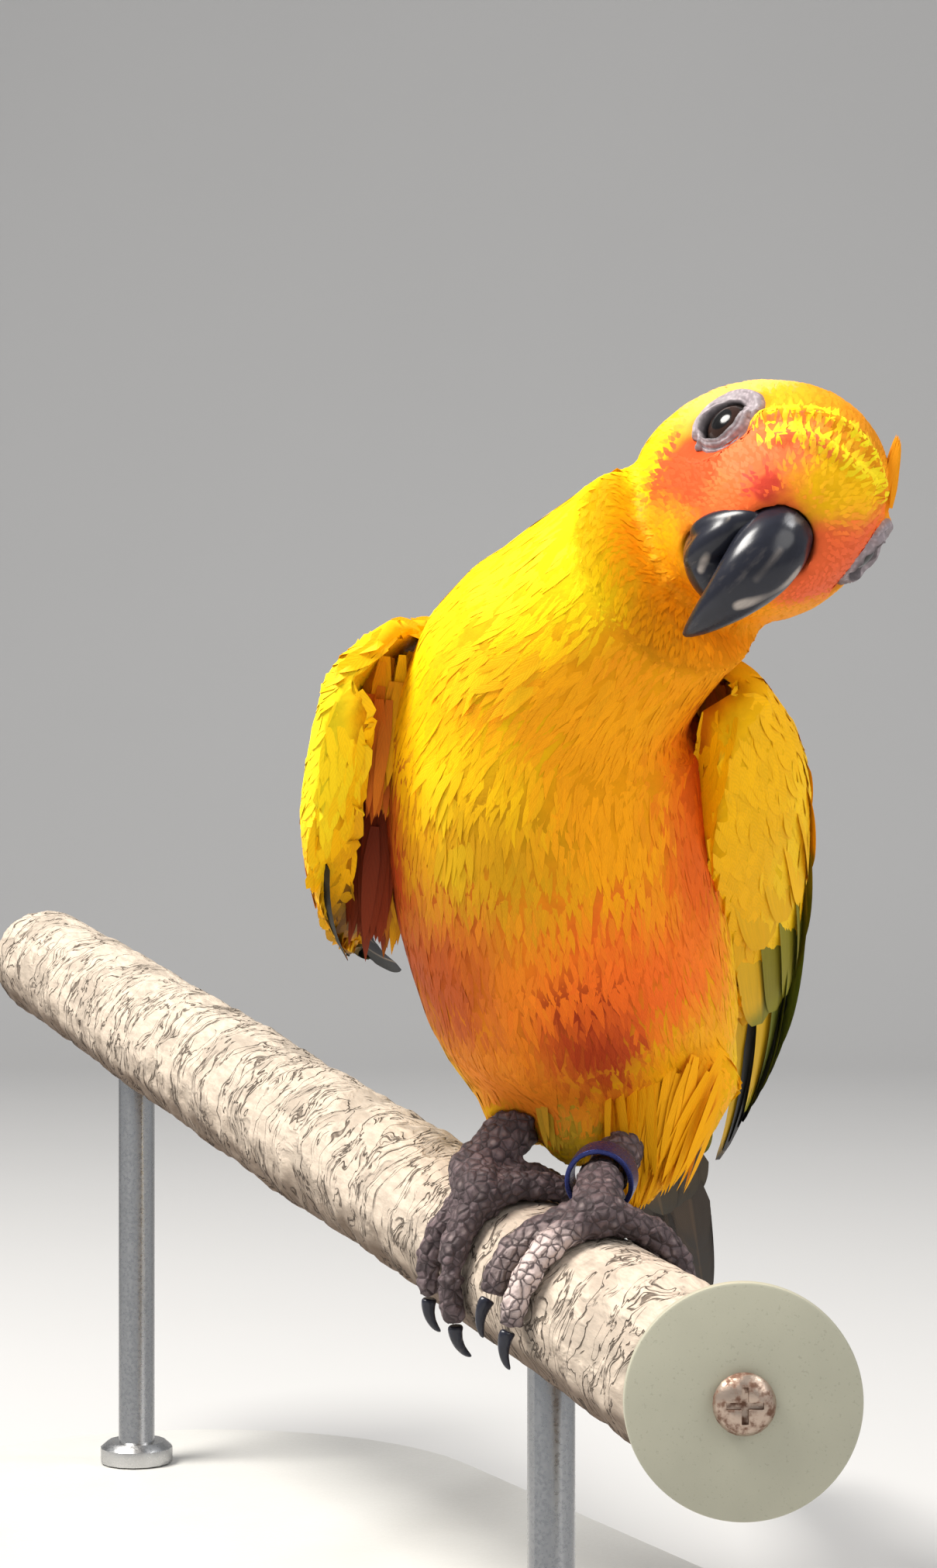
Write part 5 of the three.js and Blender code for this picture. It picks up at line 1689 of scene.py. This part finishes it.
def area_light(name, at, towards, size, power, colour=(1, 1, 1)):
    light = bpy.data.lights.new(name, "AREA")
    light.shape = "DISK"
    light.size = size
    light.energy = power
    light.color = colour
    obj = bpy.data.objects.new(name, light)
    obj.location = at
    obj.rotation_euler = (Vector(towards) - Vector(at)).to_track_quat("-Z", "Y").to_euler()
    bpy.context.scene.collection.objects.link(obj)


class CONURE_OT_studio(bpy.types.Operator):
    """Camera at the photograph's viewing angle, a pale floor that turns up behind, and soft light"""
    bl_idname = "conure.studio"
    bl_label = "Studio"

    def execute(self, context):
        studio = context.scene.conure_studio
        select_only()
        bpy.ops.mesh.primitive_plane_add(size=1, location=(0, 0, 0))
        floor = context.active_object
        floor.name = "floor"
        floor.scale = (5, 3.4, 1)
        bpy.ops.object.transform_apply(location=True, rotation=True, scale=True)
        bpy.ops.object.mode_set(mode="EDIT")
        bpy.ops.mesh.select_all(action="DESELECT")
        bpy.ops.object.mode_set(mode="OBJECT")
        for edge in floor.data.edges:
            ends = [floor.data.vertices[v].co.y for v in edge.vertices]
            edge.select = min(ends) > 1.6
        bpy.ops.object.mode_set(mode="EDIT")
        bpy.ops.mesh.select_mode(type="EDGE")
        bpy.ops.mesh.extrude_region_move(TRANSFORM_OT_translate={"value": (0, 0, 2.6)})
        bpy.ops.object.mode_set(mode="OBJECT")
        modify(floor, "BEVEL", width=0.6, segments=24, limit_method="ANGLE", angle_limit=math.radians(60))
        shade_smooth(floor)
        material, nodes, shader = new_material("studio_floor", roughness=0.8)
        tone = uneven(nodes, object_place(nodes), 3.0, 0.03)
        nodes.link(toned(nodes, tuple(colours().floor), tone), shader["Base Color"])
        floor.data.materials.clear()
        floor.data.materials.append(material)

        area_light("key", (-0.55, -0.12, 0.95), (0.02, -0.01, 0.13), 0.5, studio.key, (1.0, 0.97, 0.92))
        area_light("fill", (0.85, -0.68, 0.75), (0.02, -0.01, 0.12), 0.8, studio.fill * 1.5,
                   (1.0, 0.98, 0.95))
        area_light("rim", (0.72, 0.0, 0.98), (0.02, 0, 0.14), 0.22, studio.fill * 0.7)
        world = bpy.data.worlds.new("studio_air")
        world.use_nodes = True
        world.node_tree.nodes["Background"].inputs[0].default_value = (0.92, 0.95, 1.0, 1)
        world.node_tree.nodes["Background"].inputs[1].default_value = 0.4
        context.scene.world = world
        context.scene.view_settings.view_transform = "Standard"

        camera = bpy.data.cameras.new("camera")
        camera.lens = studio.lens
        camera.sensor_fit = "VERTICAL"
        camera.sensor_height = 36
        camera.clip_start = 0.01
        view = bpy.data.objects.new("camera", camera)
        view.location = studio.camera_at
        view.rotation_euler = (math.pi / 2, 0, 0)
        context.scene.collection.objects.link(view)
        context.scene.camera = view
        return {"FINISHED"}


class CONURE_PT_panel(bpy.types.Panel):
    """Lists the steps that build the model"""
    bl_idname = "CONURE_PT_panel"
    bl_label = "Sun Conure"
    bl_space_type = "VIEW_3D"
    bl_region_type = "UI"
    bl_category = "Conure"

    def draw(self, context):
        for operator in OPERATORS:
            self.layout.operator(operator.bl_idname)
        scene = context.scene
        for group in (scene.conure_plumage, scene.conure_colours, scene.conure_studio):
            for key in group.__annotations__:
                self.layout.prop(group, key)


OPERATORS = (
    CONURE_OT_skin, CONURE_OT_coat, CONURE_OT_wings, CONURE_OT_tufts, CONURE_OT_tail, CONURE_OT_eyes,
    CONURE_OT_bill, CONURE_OT_feet, CONURE_OT_leg_ring, CONURE_OT_perch, CONURE_OT_stand, CONURE_OT_studio,
)
SETTINGS = (("conure_plumage", ConurePlumage), ("conure_colours", ConureColours),
            ("conure_studio", ConureStudio))


def register():
    for name, group in SETTINGS:
        bpy.utils.register_class(group)
        setattr(bpy.types.Scene, name, bpy.props.PointerProperty(type=group))
    for operator in OPERATORS:
        bpy.utils.register_class(operator)
    bpy.utils.register_class(CONURE_PT_panel)


def unregister():
    bpy.utils.unregister_class(CONURE_PT_panel)
    for operator in reversed(OPERATORS):
        bpy.utils.unregister_class(operator)
    for name, group in reversed(SETTINGS):
        delattr(bpy.types.Scene, name)
        bpy.utils.unregister_class(group)


def main():
    register()
    for operator in OPERATORS:
        getattr(bpy.ops.conure, operator.bl_idname.split(".")[1])()


if __name__ == "__main__":
    main()
